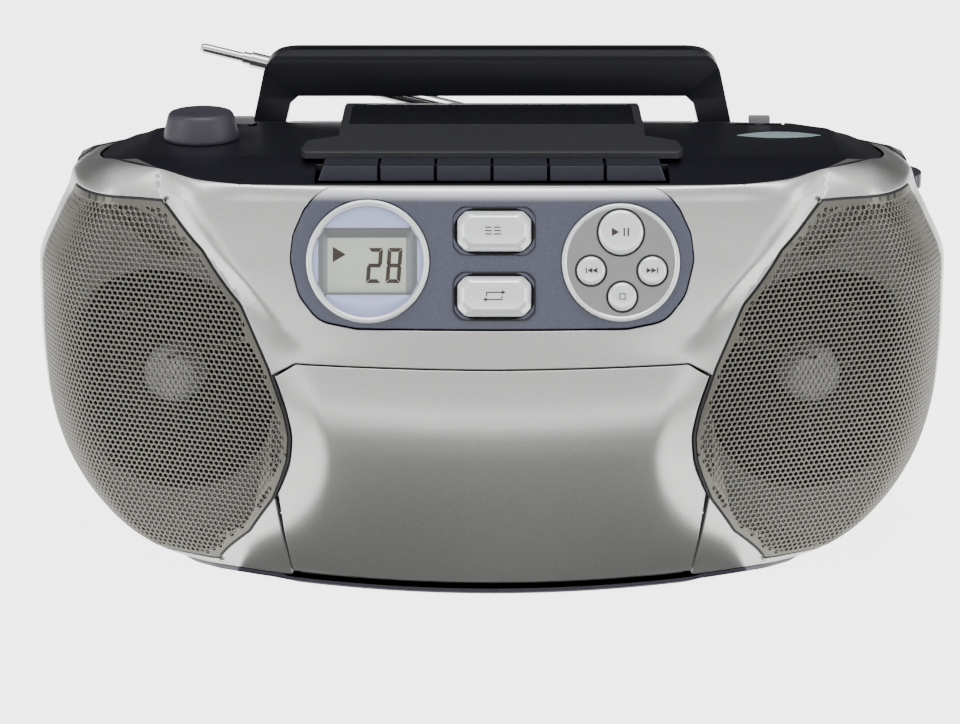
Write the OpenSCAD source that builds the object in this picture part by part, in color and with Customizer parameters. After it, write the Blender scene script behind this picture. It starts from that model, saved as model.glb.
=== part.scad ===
// Portable CD, radio and cassette recorder, built as separate pieces.
// Millimetres, +Z up, the front faces -Y, origin at the bottom centre of the whole object.

/* [Cabinet] */
// Overall width of the cabinet
body_w = 424; // [390:1:430]
// Height of the deck above the table
deck_z = 190; // [185:1:195]
// Wall thickness of the cabinet mouldings
wall = 2.5; // [2:0.1:3.5]
// Plane where the front and rear cabinets meet
split_y = -8; // [-20:1:5]
// Height of the rubber feet
foot_h = 2; // [1.5:0.5:3]

/* [Speakers] */
// Distance of each speaker from the middle
speaker_x = 149; // [140:1:155]
// Height of the speaker centres
speaker_z = 92; // [88:1:98]
// Radius of the round opening in the baffle
speaker_r = 51; // [45:0.5:53]
// Angle by which each baffle turns outwards
toe_out = 21; // [15:1:25]
// Thickness of the perforated metal grilles
grille_t = 1.2; // [0.8:0.1:1.4]

/* [Cassette compartment] */
// Angle of the open cassette door
door_open = 32; // [20:1:35]
// Height of the door hinge
door_hinge_z = 9; // [8.5:0.5:10]
// Length of the cassette pocket
cassette_w = 103; // [102:0.5:105]
// Clear depth of the cassette pocket
cassette_t = 13; // [12.5:0.1:14]

/* [CD compartment] */
// Radius of the disc well
well_r = 61; // [60.5:0.1:61.2]
// Depth position of the disc centre
disc_y = -4; // [-6:1:-2]
// Half width of the lid
lid_hw = 70; // [67:1:75]

/* [Controls] */
// Radius of the volume knob at its foot
knob_r = 17.5; // [15:0.5:18]
// Height of the volume knob
knob_h = 12; // [10:0.5:14]
// Distance between neighbouring tape keys
key_pitch = 25.2; // [24:0.1:26]
// Gap left around the push buttons
button_gap = 0.5; // [0.4:0.1:0.8]

/* [Handle and antenna] */
// Half width of the handle at its foot
handle_hw = 118; // [112:1:120]
// Height of the top of the upright handle
handle_z = 216.5; // [212:0.5:217]
// Radius of the outer antenna tube
antenna_r = 4; // [3.5:0.1:4.5]
// Angle at which the antenna is raised
antenna_tilt = 13.8; // [0:0.1:30]

/* [Hidden] */
$fn = 48;
eps = 0.02;
half_w = body_w / 2;
panel_bottom = [-111, 122];
panel_top = [-91.5, 182];
panel_tilt = atan((panel_top[0] - panel_bottom[0]) / (panel_top[1] - panel_bottom[1]));
panel_mid = (panel_bottom + panel_top) / 2;
panel_t = 3;
key_y = -83;
key_pivot = [-44, 170];
handle_pivot = [67, 168];
door_hinge_y = -114;
antenna_at = [120, 121.5, 141];
lid_pivot = [57, 187.5];
lug_x = [-44, 44];
hub_z = 54;
jack_at = [120, 100];
pill_v = [13.4, -15.5];

silver = [0.78, 0.78, 0.77];
slate = [0.36, 0.39, 0.47];
black = [0.06, 0.06, 0.09];
steel = [0.7, 0.71, 0.72];
grey = [0.45, 0.45, 0.46];
pearl = [0.82, 0.83, 0.85];

// Half of an outline, given from the bottom to the top, completed by its mirror image.
function whole(p) = concat(p, [for (i = [len(p) - 1:-1:0]) [-p[i][0], p[i][1]]]);
// Points of a quadratic curve from a to c that is drawn towards b.
function curve(a, b, c, n = 6) =
    [for (i = [0:n]) let (t = i / n) (1 - t) * (1 - t) * a + 2 * t * (1 - t) * b + t * t * c];

// Outline of the cabinet seen from the front.
module front_outline() {
    polygon(whole(concat([[0, foot_h], [115, foot_h]],
        curve([140, 3.5], [203, 8], [half_w - 1.5, 78], 9),
        [[half_w, 108], [half_w, 136], [197.5, 169], [194.5, 178], [188, 182]],
        [[173, 184.5], [150, 185], [0, 185]])));
}

// Outline of the cabinet seen from above.
module plan_outline() {
    polygon(whole(concat([[0, -125], [30, -124], [58, -121.3]],
        curve([72, -119.4], [82, -117.5], [94, -109.5], 3),
        curve([184, -77.6], [half_w, -70], [half_w, -42], 6),
        [[half_w, -20], [half_w - 1, -8]],
        curve([204, 40], [192, 103], [140, 103], 6), [[0, 103]])));
}

// Outline of the cabinet seen from the side, y and z.
module side_outline() {
    polygon(concat([[-114.5, foot_h], [-117.6, 4.5], [-118.4, 8], [-122, 40], [-124.4, 68]],
        [[-125, 80], [-124.6, 90]],
        curve([-124, 94], [-119.5, 107], panel_bottom, 4),
        [panel_top, [-87, 184.5], [-82, 185], [30, 185], [60, 178], [98, 171], [103, 166],
        [103, 6], [99, foot_h]]));
}

// The space above the sloping rear shoulders, lowered by o.
module shoulder_space(o = 0) {
    both() translate([155, 5, 189]) rotate([0, 0, -35.5]) rotate([-23, 0, 0])
        translate([-250, 0, -o]) cube([500, 300, 200]);
}

// The cabinet as a solid, inset by o on every side.
module body(o = 0) {
    difference() {
        intersection() {
            through(-150, 150) offset(delta = -o) front_outline();
            translate([0, 0, -5]) linear_extrude(220) offset(delta = -o) plan_outline();
            along(220) offset(delta = -o) side_outline();
        }
        shoulder_space(o);
    }
}

// Extrudes a front view outline from y0 to y1.
module through(y0, y1) {
    translate([0, y1, 0]) rotate([90, 0, 0]) linear_extrude(y1 - y0) children();
}

// Extrudes a side view outline, y and z, to x = hw on both sides.
module along(hw) {
    translate([-hw, 0, 0]) rotate([90, 0, 90]) linear_extrude(2 * hw) children();
}

// A box given by its two corners.
module block(a, b) {
    translate(a) cube(b - a);
}

// Draws the children and their mirror image.
module both() {
    children();
    mirror([1, 0, 0]) children();
}

// Outline of the right grille seen from the front.
module grille_outline(o = 0) {
    offset(delta = -o) intersection() {
        polygon([[147, 174], [111, 131], [99, 104], [92.5, 86], [90, 73], [91, 62], [94, 53],
            [98, 44], [108, 29], [124, 12], [124, 0], [220, 0], [220, 174]]);
        offset(delta = -1.5) front_outline();
    }
}

// Outline of the cassette door seen from the front, grown by o.
module door_outline(o = 0) {
    offset(delta = o) polygon(whole([[0, 6.5], [91, 6.5], [93, 28], [95, 42], [91.5, 52],
        [88.5, 62], [87.5, 73], [90, 86], [96, 101], [88, 107], [0, 107]]));
}

// Outline of the control panel in its own plane, grown by o.
module panel_outline(o = 0) {
    offset(delta = o) polygon(whole(concat([[0, -30]],
        curve([60, -30], [88, -29], [90, 2], 6), [[87, 15], [82, 23]], [[75, 28.5], [0, 28.5]])));
}

// Moves to the plane of the control panel: x right, y up the panel, z out of it.
module on_panel() {
    translate([0, panel_mid[0], panel_mid[1]]) rotate([90 - panel_tilt, 0, 0]) children();
}

// Plan of the black top deck.
module deck_plan(o = 0) {
    offset(delta = -o) polygon(whole([[0, -87.5], [112, -87.5], [130, -82], [150, -70], [176, -46],
        [181, -25], [176, -8], [160, 8], [142, 26], [126, 48], [125, 60], [122, 92], [0, 92]]));
}

// Profile of the deck, y and z, lowered by o and closed far below; fall shapes its rear slope.
module deck_profile(o, fall) {
    polygon(concat([[-120, 183.4 - o], [-87.5, 183.4 - o], [-57, deck_z - o], [15, deck_z - o]],
        [fall - [0, o], [62, 181.2 - o], [70, 179 - o], [100, 172 - o], [100, 120], [-120, 120]]));
}

// The deck as a solid, lowered by o: a little higher under the lid, cut away at the shoulders.
module deck_solid(o = 0) {
    difference() {
        intersection() {
            union() {
                along(73 - o) deck_profile(o, [54, 184]);
                along(220) deck_profile(o, [55, 182.4]);
            }
            through(-150, 150) deck_front(o);
        }
        shoulder_space(o);
    }
}

// Front view of the deck, which falls away at both ends.
module deck_front(o = 0) {
    polygon(whole([[0, 110], [200, 110], [200, 178 - o], [176, 185.5 - o], [158, deck_z - o],
        [120, deck_z + 0.5 - o], [0, deck_z + 0.5 - o]]));
}

// The space above the deck's underside, taken out of both cabinets.
module deck_space(o) {
    difference() {
        translate([0, 0, 160]) linear_extrude(60) deck_plan();
        deck_solid(o);
    }
}

// The space that the folding handle sweeps behind the deck.
module handle_space(o = 0) {
    both() block([98.5 - o, 54 - o, 150 - o], [121 + o, 130, 230]);
    block([-100, 84 - o, 150 - o], [100, 130, 230]);
}

module speaker_place(side) {
    translate([side * speaker_x, -80, speaker_z]) rotate([90, 0, side * toe_out]) children();
}

module front_cabinet() {
    color(silver) difference() {
        union() {
            difference() {
                body();
                body(wall);
                through(-140, -98) door_outline(0.6);
                block([-91.6, -140, 3.8], [91.6, -106, 9]);
                on_panel() translate([0, 0, -8]) linear_extrude(20) panel_outline(0.3);
                both() intersection() {
                    difference() {
                        body(-1);
                        body(grille_t + 0.1);
                    }
                    through(-130, -38) grille_outline();
                }
                both() through(-130, -45) grille_outline(3);
            }
            on_panel() translate([0, 0, -panel_t - 2.5]) difference() {
                linear_extrude(3.5) panel_outline(2.5);
                translate([0, 0, -1]) linear_extrude(6) panel_outline(-3);
                translate([0, 0, 2.5]) linear_extrude(6) panel_outline(0.3);
                translate([-55, 0, -1]) cylinder(r = 29.6, h = 3.5);
                translate([57, -0.5, -1]) cylinder(r = 28.1, h = 3.5);
            }
            both() {
                block([64, -114.8, 3], [67.5, -110, 11.5]);
                translate([56, door_hinge_y, door_hinge_z]) rotate([0, 90, 0]) cylinder(r = 1, h = 9);
            }
            intersection() {
                body(1.5);
                for (s = [-1, 1]) speaker_place(s) translate([0, 0, -1.5])
                    linear_extrude(3) square([112, 152], center = true);
            }
        }
        for (s = [-1, 1]) speaker_place(s) translate([0, 0, -20]) cylinder(r = speaker_r, h = 40);
        block([-230, split_y, -10], [230, 200, 230]);
        deck_space(3);
        translate([0, 0, 150]) linear_extrude(60) deck_plan(4);
    }
}

module rear_cabinet() {
    color(black) difference() {
        union() {
            difference() {
                body();
                body(wall);
            }
            intersection() {
                body(1);
                union() {
                    handle_space(wall);
                    block([-92, 46, 3], [42, 110, 66]);
                    block([60, 84, 24], [92, 110, 48]);
                }
            }
        }
        block([-230, -200, -10], [230, split_y, 230]);
        deck_space(3);
        translate([0, 0, 168]) linear_extrude(60) deck_plan(4);
        handle_space();
        block([-88, 50, 10], [38, 130, 62]);
        block([64, 88, 28], [88, 130, 44]);
        translate([antenna_at[0], 110, antenna_at[2]]) rotate([90, 0, 0]) cylinder(r = 4.08, h = 30);
        translate([0, handle_pivot[0], handle_pivot[1]]) rotate([0, 90, 0])
            cylinder(r = 4.08, h = 252, center = true);
        translate([0, 101.2, 12]) rotate([0, 90, 0]) translate([0, 0, -91]) cylinder(r = 1.08, h = 132);
        block([168, -5, 158.5], [216, 33, 168.5]);
        translate([jack_at[0], 110, jack_at[1]]) rotate([90, 0, 0]) cylinder(r = 3.8, h = 30);
    }
}

module top_deck() {
    color(black) difference() {
        union() {
            difference() {
                intersection() {
                    translate([0, 0, 160]) linear_extrude(60) deck_plan();
                    deck_solid();
                }
                deck_solid(3);
            }
            intersection() {
                translate([0, disc_y, 174.5]) cylinder(r = well_r + 1.5, h = 14, $fn = 96);
                deck_solid(1);
            }
            for (x = lug_x) translate([x - 2, lid_pivot[0], lid_pivot[1]]) rotate([90, 0, 90])
                linear_extrude(4) polygon([[-3.5, -8], [3.5, -8], [3.5, 1.4], [2, 2.7],
                    [-2, 2.7], [-3.5, 1.4]]);
        }
        translate([0, disc_y, 177]) cylinder(r = well_r, h = 20, $fn = 96);
        translate([0, disc_y, 170]) cylinder(r = 18, h = 20);
        block([-8, disc_y - 54, 170], [8, disc_y - 17, 190]);
        block([-3 * key_pitch - 3.5, key_y - 2.6, 150], [3 * key_pitch + 3.5, -66.3, 220]);
        translate([-135, -20, 160]) cylinder(r = 5, h = 60);
        block([-124.6, 8, 170], [-111.4, 16, 200]);
        block([115, 11, 170], [139, 17, 200]);
        translate([134, -10.5, 188]) linear_extrude(10) dial_shape(0.3);
        translate([134, -10.5, 170]) linear_extrude(30) dial_shape(-2);
        handle_space();
        for (x = lug_x) translate([x, lid_pivot[0], lid_pivot[1]]) rotate([0, 90, 0])
            cylinder(r = 1.58, h = 12, center = true);
    }
}

// Lens shape of the tuning window, grown by o.
module dial_shape(o = 0) {
    offset(delta = o) polygon(concat(curve([-20, -2], [0, -14], [20, -2], 8),
        curve([20, -2], [0, 14], [-20, -2], 8)));
}

module control_panel() {
    color(slate) on_panel() difference() {
        translate([0, 0, -panel_t]) linear_extrude(panel_t) difference() {
            panel_outline();
            translate([-55, 0]) circle(r = 27.8);
            translate([57, -0.5]) circle(r = 26.3);
            for (v = pill_v) translate([1, v]) pill(16.5 + button_gap, 8.5 + button_gap);
        }
    }
}

// A rounded rectangle given by its half sizes.
module pill(a, b) {
    hull() for (s = [-1, 1]) translate([s * (a - b), 0]) circle(r = b);
}

module display_ring() {
    color(pearl) on_panel() translate([-55, 0, 0]) difference() {
        union() {
            translate([0, 0, -4]) cylinder(r = 27.5, h = 5.5);
            translate([0, 0, -5]) cylinder(r = 29.5, h = 2);
        }
        translate([0, 0, -2.5]) cylinder(r = 24.6, h = 10);
        translate([0, 0, -9]) linear_extrude(20) square([44, 30], center = true);
    }
}

module display_lens() {
    color([0.62, 0.66, 0.82]) on_panel() translate([-55, 0, -2.5]) cylinder(r = 24.5, h = 2);
}

module lcd_module() {
    color([0.62, 0.66, 0.58]) on_panel() translate([-55, 0, -5]) {
        linear_extrude(2) square([43, 29], center = true);
        translate([0, 0, -2.5]) linear_extrude(2.5) square([48, 36], center = true);
    }
}

// Places of the round buttons on their plate: x, y and radius.
play_at = [57, 12.8, 10];
prev_at = [43.8, -4.2, 6.4];
next_at = [70.9, -4.2, 6.4];
stop_at = [57.6, -15.7, 6.4];

module cd_button_plate() {
    color(pearl) on_panel() difference() {
        translate([57, -0.5, 0]) {
            translate([0, 0, -4]) cylinder(r = 26, h = 5);
            translate([0, 0, -5]) cylinder(r = 28, h = 2);
        }
        for (b = [play_at, prev_at, next_at, stop_at])
            translate([b[0], b[1], -10]) cylinder(r = b[2] + button_gap, h = 20);
    }
}

// A round button with a retaining flange behind the panel.
module round_button(b) {
    color(pearl) on_panel() translate([b[0], b[1], 0]) {
        translate([0, 0, -6]) cylinder(r = b[2], h = 8);
        translate([0, 0, 2]) cylinder(r1 = b[2], r2 = b[2] - 0.8, h = 0.6);
        translate([0, 0, -6.4]) cylinder(r = b[2] + 1.1, h = 1);
    }
}

module pill_button(v) {
    color(pearl) on_panel() translate([1, v, 0]) {
        translate([0, 0, -4.4]) linear_extrude(6.2) pill(16.5, 8.5);
        translate([0, 0, 1.8]) linear_extrude(1) pill(15.3, 7.3);
        translate([0, 0, -4.8]) linear_extrude(1) pill(17.7, 9.7);
    }
}

module program_button() pill_button(pill_v[0]);
module repeat_button() pill_button(pill_v[1]);
module play_pause_button() round_button(play_at);
module previous_button() round_button(prev_at);
module next_button() round_button(next_at);
module stop_button() round_button(stop_at);

// A tape key: a cap in front and a lever that swings on a rod behind it.
module tape_key(i) {
    x0 = (i - 3) * key_pitch + 0.6;
    x1 = x0 + key_pitch - 1.2;
    slant0 = i == 0 ? 2.5 : 0;
    slant1 = i == 5 ? 2.5 : 0;
    color(slate) difference() {
        union() {
            through(key_y, -66.8) polygon([[x0 - slant0, 184.2], [x1 + slant1, 184.2],
                [x1, 191], [x0, 191]]);
            translate([(x0 + x1) / 2 - 3, 0, 0]) rotate([90, 0, 90]) linear_extrude(6)
                polygon([[-73, 168], [-73, 185], [-69, 185], [-69, 174], [-66, 172.5],
                    key_pivot + [3, 3.5], key_pivot + [4, -2], [-64, 165]]);
        }
        translate([-100, key_pivot[0], key_pivot[1]]) rotate([0, 90, 0]) cylinder(r = 1.6, h = 200);
    }
}

module record_key() tape_key(0);
module play_key() tape_key(1);
module rewind_key() tape_key(2);
module fast_forward_key() tape_key(3);
module stop_eject_key() tape_key(4);
module pause_key() tape_key(5);

module volume_knob() {
    color(slate) translate([-135, -20, 0]) difference() {
        union() {
            translate([0, 0, 191]) cylinder(r1 = knob_r, r2 = knob_r - 3, h = knob_h - 1);
            translate([0, 0, 190 + knob_h]) cylinder(r1 = knob_r - 3, r2 = knob_r - 4.4, h = 1);
            translate([0, 0, 178]) cylinder(r = 3, h = 14);
        }
        translate([-knob_r + 5, -1, 191 + knob_h - 1]) cube([5, 2, 3]);
    }
}

module slider(x, y, z) {
    translate([x - 5, y - 2.5, z + 0.4]) cube([10, 5, 3.2]);
    translate([x - 2, y - 1.5, z - 7]) cube([4, 3, 8]);
    translate([x - 6, y - 4.5, z - 7]) cube([12, 7, 2]);
}

module source_selector() color(grey) slider(-118, 12, deck_z);
module band_selector() color(grey) slider(127, 14, deck_z);

module tuning_knob() {
    color(slate) translate([187, 14, 160]) difference() {
        cylinder(r = 18, h = 7);
        translate([0, 0, -1]) cylinder(r = 2.58, h = 9);
        for (a = [0:15:345]) rotate(a) translate([18.6, 0, -1]) cylinder(r = 1, h = 9, $fn = 12);
    }
}

module dial_window() {
    color([0.6, 0.75, 0.78]) translate([134, -10.5, 188]) linear_extrude(2) dial_shape();
}

module dial_pointer() {
    color([0.8, 0.2, 0.15]) translate([134, -10.5, 0]) {
        translate([-0.5, -6, 184.6]) cube([1, 9, 1]);
        translate([-2, 1, 179]) cube([4, 2, 6.6]);
    }
}

module speaker_frame(side) {
    color(grey) speaker_place(side) difference() {
        union() {
            translate([0, 0, -4]) cylinder(r = 54, h = 2.5);
            translate([0, 0, -24]) cylinder(r1 = 30, r2 = 53, h = 20.1);
            translate([0, 0, -28]) cylinder(r = 30, h = 4.1);
            translate([0, 0, -42]) cylinder(r = 32, h = 14.1);
        }
        translate([0, 0, -22.5]) cylinder(r1 = 27.5, r2 = 47.5, h = 20);
        translate([0, 0, -3]) cylinder(r = 51, h = 5);
        translate([0, 0, -40]) cylinder(r = 13, h = 40);
    }
}

module speaker_frame_left() speaker_frame(-1);
module speaker_frame_right() speaker_frame(1);

module speaker_cone(side) {
    color([0.12, 0.12, 0.13]) speaker_place(side) rotate_extrude()
        polygon([[0, -12.6], [7, -13.4], [13.5, -17], [14.5, -19], [38, -5.5], [41, -2.6], [44.5, -1.2],
            [47, -2.2], [50, -2.4], [50, -3], [47, -3], [44.5, -2.2], [41.5, -3.8], [38, -7],
            [13, -21], [12, -30], [11, -30], [11, -17.4], [0, -14]]);
}

module speaker_cone_left() speaker_cone(-1);
module speaker_cone_right() speaker_cone(1);

module speaker_grille() {
    color(steel) intersection() {
        difference() {
            body();
            body(grille_t);
        }
        through(-130, -38) grille_outline(0.3);
    }
}

module speaker_grille_left() mirror([1, 0, 0]) speaker_grille();
module speaker_grille_right() speaker_grille();

module cassette_door() {
    color(silver) {
        difference() {
            intersection() {
                body();
                through(-140, -100) door_outline();
            }
            body(3);
            both() block([63.6, -116.7, 0], [67.9, -109, 13]);
        }
        both() translate([60, door_hinge_y, door_hinge_z]) difference() {
            block([-3, -3, -2.4], [3, 2.5, 10]);
            rotate([0, 90, 0]) cylinder(r = 1.08, h = 20, center = true);
        }
    }
}

module cassette_holder() {
    hw = cassette_w / 2;
    y0 = -99 - cassette_t;
    color(black) {
        block([-hw - 2.5, y0 - 2, 24], [hw + 2.5, y0, 84]);
        block([-hw - 2.5, y0 - 2, 21.5], [hw + 2.5, -98, 24]);
        both() block([hw, y0 - eps, 24 - eps], [hw + 2.5, -99, 80]);
        both() block([hw - 5, -99, 24 - eps], [hw + 2.5, -97.5, 80]);
        intersection() {
            body(3);
            for (x = [-34, -2, 30]) block([x, -130, 26], [x + 4, y0 - 2 + eps, 82]);
        }
    }
}

module tape_chassis() {
    color(steel) {
        difference() {
            block([-84, -94, 16], [84, -92, 104]);
            for (x = [-21.25, 21.25]) translate([x, 0, hub_z]) rotate([90, 0, 0]) cylinder(r = 5, h = 200);
            translate([36, 0, 84]) rotate([90, 0, 0]) cylinder(r = 1.33, h = 200);
            both() block([66, -100, 30], [80, -90, 90]);
        }
        both() translate([82, 0, 0]) rotate([90, 0, 90]) linear_extrude(2)
            polygon([[-92.1, 60], [-92.1, 104], [-50, 174], [-39, 174], [-39, 164], [-84, 90]]);
        translate([-83, key_pivot[0], key_pivot[1]]) rotate([0, 90, 0]) cylinder(r = 1.5, h = 166);
        for (x = [-21.25, 21.25]) translate([x, -92.1, hub_z]) rotate([-90, 0, 0]) difference() {
            cylinder(r = 6, h = 3);
            translate([0, 0, -1]) cylinder(r = 5, h = 2.5);
        }
    }
}

module head_plate() {
    color(steel) {
        block([-30, -96.6, 91], [46, -94.6, 103]);
        block([-7, -111, 91], [7, -96.5, 101]);
        block([-28, -108, 91], [-20, -96.5, 99]);
    }
}

module pinch_roller() {
    color([0.15, 0.15, 0.15]) {
        translate([36, -101.5, 96.5]) rotate([90, 0, 0]) cylinder(r = 6, h = 8);
        translate([36, -97.2, 96.5]) rotate([90, 0, 0]) cylinder(r = 1.5, h = 5);
        block([36, -99.2, 95], [54, -97.4, 98]);
        translate([54, -94, 96.5]) rotate([90, 0, 0]) cylinder(r = 2.5, h = 5.2);
    }
}

module capstan_flywheel() {
    color(steel) translate([36, 0, 84]) rotate([90, 0, 0]) {
        translate([0, 0, 84]) cylinder(r = 22, h = 6);
        translate([0, 0, 89]) cylinder(r = 1.25, h = 15);
    }
}

// A reel spindle with three drive fins.
module reel(x) {
    color([0.9, 0.9, 0.9]) translate([x, 0, hub_z]) rotate([90, 0, 0]) {
        translate([0, 0, 90.8]) cylinder(r = 4.6, h = 5);
        translate([0, 0, 95]) cylinder(r = 10, h = 2);
        translate([0, 0, 96.9]) cylinder(r = 3, h = 7.1);
        for (a = [0, 120, 240]) rotate(a) translate([0, -0.6, 96.9]) cube([4.6, 1.2, 5.6]);
    }
}

module supply_reel() reel(-21.25);
module takeup_reel() reel(21.25);

module tape_motor() {
    color(steel) translate([-44, 0, 84]) rotate([90, 0, 0]) {
        translate([0, 0, 62]) cylinder(r = 17, h = 30);
        translate([0, 0, 56]) cylinder(r = 4, h = 6.1);
    }
}

// Half of the plan of the lid, with the finger tab at its front corner.
lid_half = [[0, -66], [84, -66], [86, -63], [84, -50], [70, -42], [70, 40], [60, 59.6], [0, 59.6]];

module cd_lid() {
    color(black) {
        difference() {
            union() {
                difference() {
                    intersection() {
                        translate([0, 0, 180]) linear_extrude(30) polygon(whole(lid_half));
                        along(100) polygon([[-66, 190.6], [-66, 193.4], [-64, 194.4],
                            [-25, 197.5], [8, 198.2], [20, 197.8], [40, 194.6], [57, 190.1],
                            [59, 189.1], [59.6, 187.5], [59, 185.9], [57, 184.9], [54, 185],
                            [15, 190.6]]);
                    }
                    along(lid_hw - 2.5) polygon([[-63.5, 180], [-63.5, 192.2], [-25, 195.1],
                        [8, 195.7], [20, 195.3], [40, 192], [50, 189.4], [50, 180]]);
                    along(66) polygon([[-24, 196.4], [8, 197], [20, 196.6], [38, 193.6],
                        [38, 210], [-24, 210]]);
                }
                block([-lid_hw + 1, disc_y - 9, 190.8], [lid_hw - 1, disc_y + 9, 192.8]);
            }
            translate([0, disc_y, 180]) cylinder(r = 4.1, h = 12.9);
            for (x = lug_x) block([x - 2.6, 50, 180], [x + 2.6, 70, 210]);
        }
        for (x = lug_x) translate([x, lid_pivot[0], lid_pivot[1]]) rotate([0, 90, 0])
            cylinder(r = 1.5, h = 10, center = true);
    }
}

module cd_window() {
    color([0.03, 0.03, 0.04]) along(65.8) polygon([[-23.8, 196.4], [8, 197], [20, 196.6],
        [37.8, 193.7], [37.8, 194.8], [20, 197.7], [8, 198.1], [-23.8, 197.5]]);
}

module cd_clamper() {
    color([0.85, 0.85, 0.85]) translate([0, disc_y, 0]) {
        translate([0, 0, 186]) cylinder(r = 15, h = 2.6);
        translate([0, 0, 188.5]) cylinder(r = 4, h = 4.9);
        translate([0, 0, 193.3]) cylinder(r = 6, h = 1);
    }
}

module cd_chassis() {
    color(grey) translate([0, disc_y, 0]) difference() {
        union() {
            block([-45, -32, 167], [45, 42, 170]);
            translate([0, 0, 169]) cylinder(r = 11, h = 5.3);
            for (x = [-39, 39], y = [-26, 36]) translate([x, y, 169.9]) cylinder(r = 3, h = 4.5);
        }
        translate([0, 0, 160]) cylinder(r = 1.58, h = 20);
    }
}

module turntable() {
    color([0.2, 0.2, 0.2]) translate([0, disc_y, 0]) {
        translate([0, 0, 178.4]) cylinder(r = 15, h = 2.2);
        translate([0, 0, 180.5]) cylinder(r = 7.3, h = 1.6);
        translate([0, 0, 182]) cylinder(r1 = 7.3, r2 = 5, h = 1.6);
        translate([0, 0, 168]) cylinder(r = 1.5, h = 11);
    }
}

module laser_pickup() {
    color(grey) translate([0, disc_y, 0]) {
        block([-7.4, -34, 174.8], [7.4, -18, 178]);
        translate([0, -26, 177.9]) cylinder(r = 3.5, h = 1);
    }
}

module carry_handle() {
    color(black) {
        intersection() {
            through(50, 100) difference() {
                polygon(whole(concat([[0, 159.5], [110, 159.5], [handle_hw, 164], [handle_hw, 178]],
                    curve([handle_hw - 6.3, 206], [handle_hw - 9.5, handle_z],
                        [handle_hw - 28, handle_z], 6), [[0, handle_z]])));
                polygon(whole([[0, 156], [103, 156], [102.5, 176], [99, 190], [95, 193.5],
                    [0, 193.5]]));
            }
            along(130) polygon([[58.5, 164], [58.5, 174], [62, 193], [62, handle_z - 7],
                    [63.2, handle_z - 3.4], [66.5, handle_z - 0.8], [71, handle_z],
                    [77, handle_z - 0.3], [81.5, handle_z - 2], [84, handle_z - 6],
                    [84, 196], [81, 191], [75.5, 177], [75.5, 164], [71.5, 159.5], [62.5, 159.5]]);
        }
        both() translate([116, handle_pivot[0], handle_pivot[1]]) rotate([0, 90, 0])
            cylinder(r = 4, h = 6.2);
    }
}

// Moves to the foot of the antenna, with the antenna along -X.
module on_antenna() {
    translate(antenna_at) rotate([0, antenna_tilt, 0]) children();
}

module antenna_swivel() {
    color(steel) on_antenna() {
        rotate([90, 0, 0]) {
            translate([0, 0, 6.5]) cylinder(r = 7, h = 11.5);
            translate([0, 0, 17.5]) cylinder(r = 4, h = 6);
        }
        for (s = [-1, 1]) translate([0, 0, s * 4.4]) cube([11, 11, 2.2], center = true);
        for (s = [-1, 1]) block([-5.5, -7, s * 4.4 - 1.1], [5.5, -5, s * 4.4 + 1.1]);
        cylinder(r = 1.5, h = 10, center = true);
    }
}

module antenna_tube_1() {
    color(steel) on_antenna() {
        difference() {
            union() {
                cylinder(r = 4.6, h = 6, center = true);
                block([-12, -2.5, -3], [0, 2.5, 3]);
                translate([-8, 0, 0]) rotate([0, -90, 0]) cylinder(r = antenna_r, h = 242);
            }
            cylinder(r = 1.58, h = 10, center = true);
            translate([-14, 0, 0]) rotate([0, -90, 0]) cylinder(r = antenna_r - 0.72, h = 240);
        }
    }
}

module antenna_tube_2() {
    color(steel) on_antenna() translate([-16, 0, 0]) rotate([0, -90, 0]) difference() {
        cylinder(r = antenna_r - 0.8, h = 238);
        translate([0, 0, 3]) cylinder(r = antenna_r - 1.42, h = 240);
    }
}

module antenna_tube_3() {
    color(steel) on_antenna() translate([-40, 0, 0]) rotate([0, -90, 0]) {
        cylinder(r = antenna_r - 1.5, h = 234);
        translate([0, 0, 234]) cylinder(r1 = antenna_r - 1.5, r2 = antenna_r - 2.1, h = 2);
    }
}

module battery_door() {
    color(black) {
        difference() {
            block([-87.4, 100.2, 11], [37.4, 102.8, 61.4]);
            block([-35, 101.6, 55], [-15, 110, 58]);
        }
        block([-87.4, 99.9, 10.7], [37.4, 102.5, 13]);
        translate([-90, 101.2, 12]) rotate([0, 90, 0]) cylinder(r = 1, h = 130);
    }
}

module main_board() {
    color([0.1, 0.35, 0.2]) {
        difference() {
            block([88, -4, 144], [193, 44, 145.6]);
            translate([187, 14, 140]) cylinder(r = 1, h = 10);
        }
        block([177, 4, 145.5], [197, 24, 157]);
        translate([187, 14, 156.9]) cylinder(r = 2.5, h = 11);
        for (x = [96, 110, 124]) translate([x, 8, 145.5]) cylinder(r = 4, h = 12);
        block([96, 24, 145.5], [130, 36, 149]);
    }
}

module transformer() {
    color(steel) {
        block([-138, 44, 16], [-98, 80, 50]);
        block([-134, 38, 22], [-102, 86, 44]);
    }
}

module mains_inlet() {
    color(black) {
        difference() {
            block([64.2, 88, 28.2], [87.8, 103, 43.8]);
            translate([76, 110, 36]) rotate([90, 0, 0]) linear_extrude(20) pill(9, 4.6);
        }
        for (x = [71.5, 80.5]) translate([x, 100, 36]) rotate([90, 0, 0]) cylinder(r = 1.2, h = 11);
    }
}

module headphone_jack() {
    color(black) translate([jack_at[0], 0, jack_at[1]]) difference() {
        union() {
            block([-6, 86, -6], [6, 100.2, 6]);
            translate([0, 104, 0]) rotate([90, 0, 0]) cylinder(r = 3.5, h = 5);
        }
        translate([0, 110, 0]) rotate([90, 0, 0]) cylinder(r = 1.75, h = 20);
    }
}

foot_xy = [[-80, -84], [80, -84], [-80, 76], [80, 76]];

module feet() {
    color([0.12, 0.12, 0.12]) for (p = foot_xy) translate([p[0], p[1], 0]) {
        cylinder(r1 = 7.4, r2 = 8, h = 1);
        translate([0, 0, 1]) cylinder(r = 8, h = foot_h - 1);
    }
}

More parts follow.
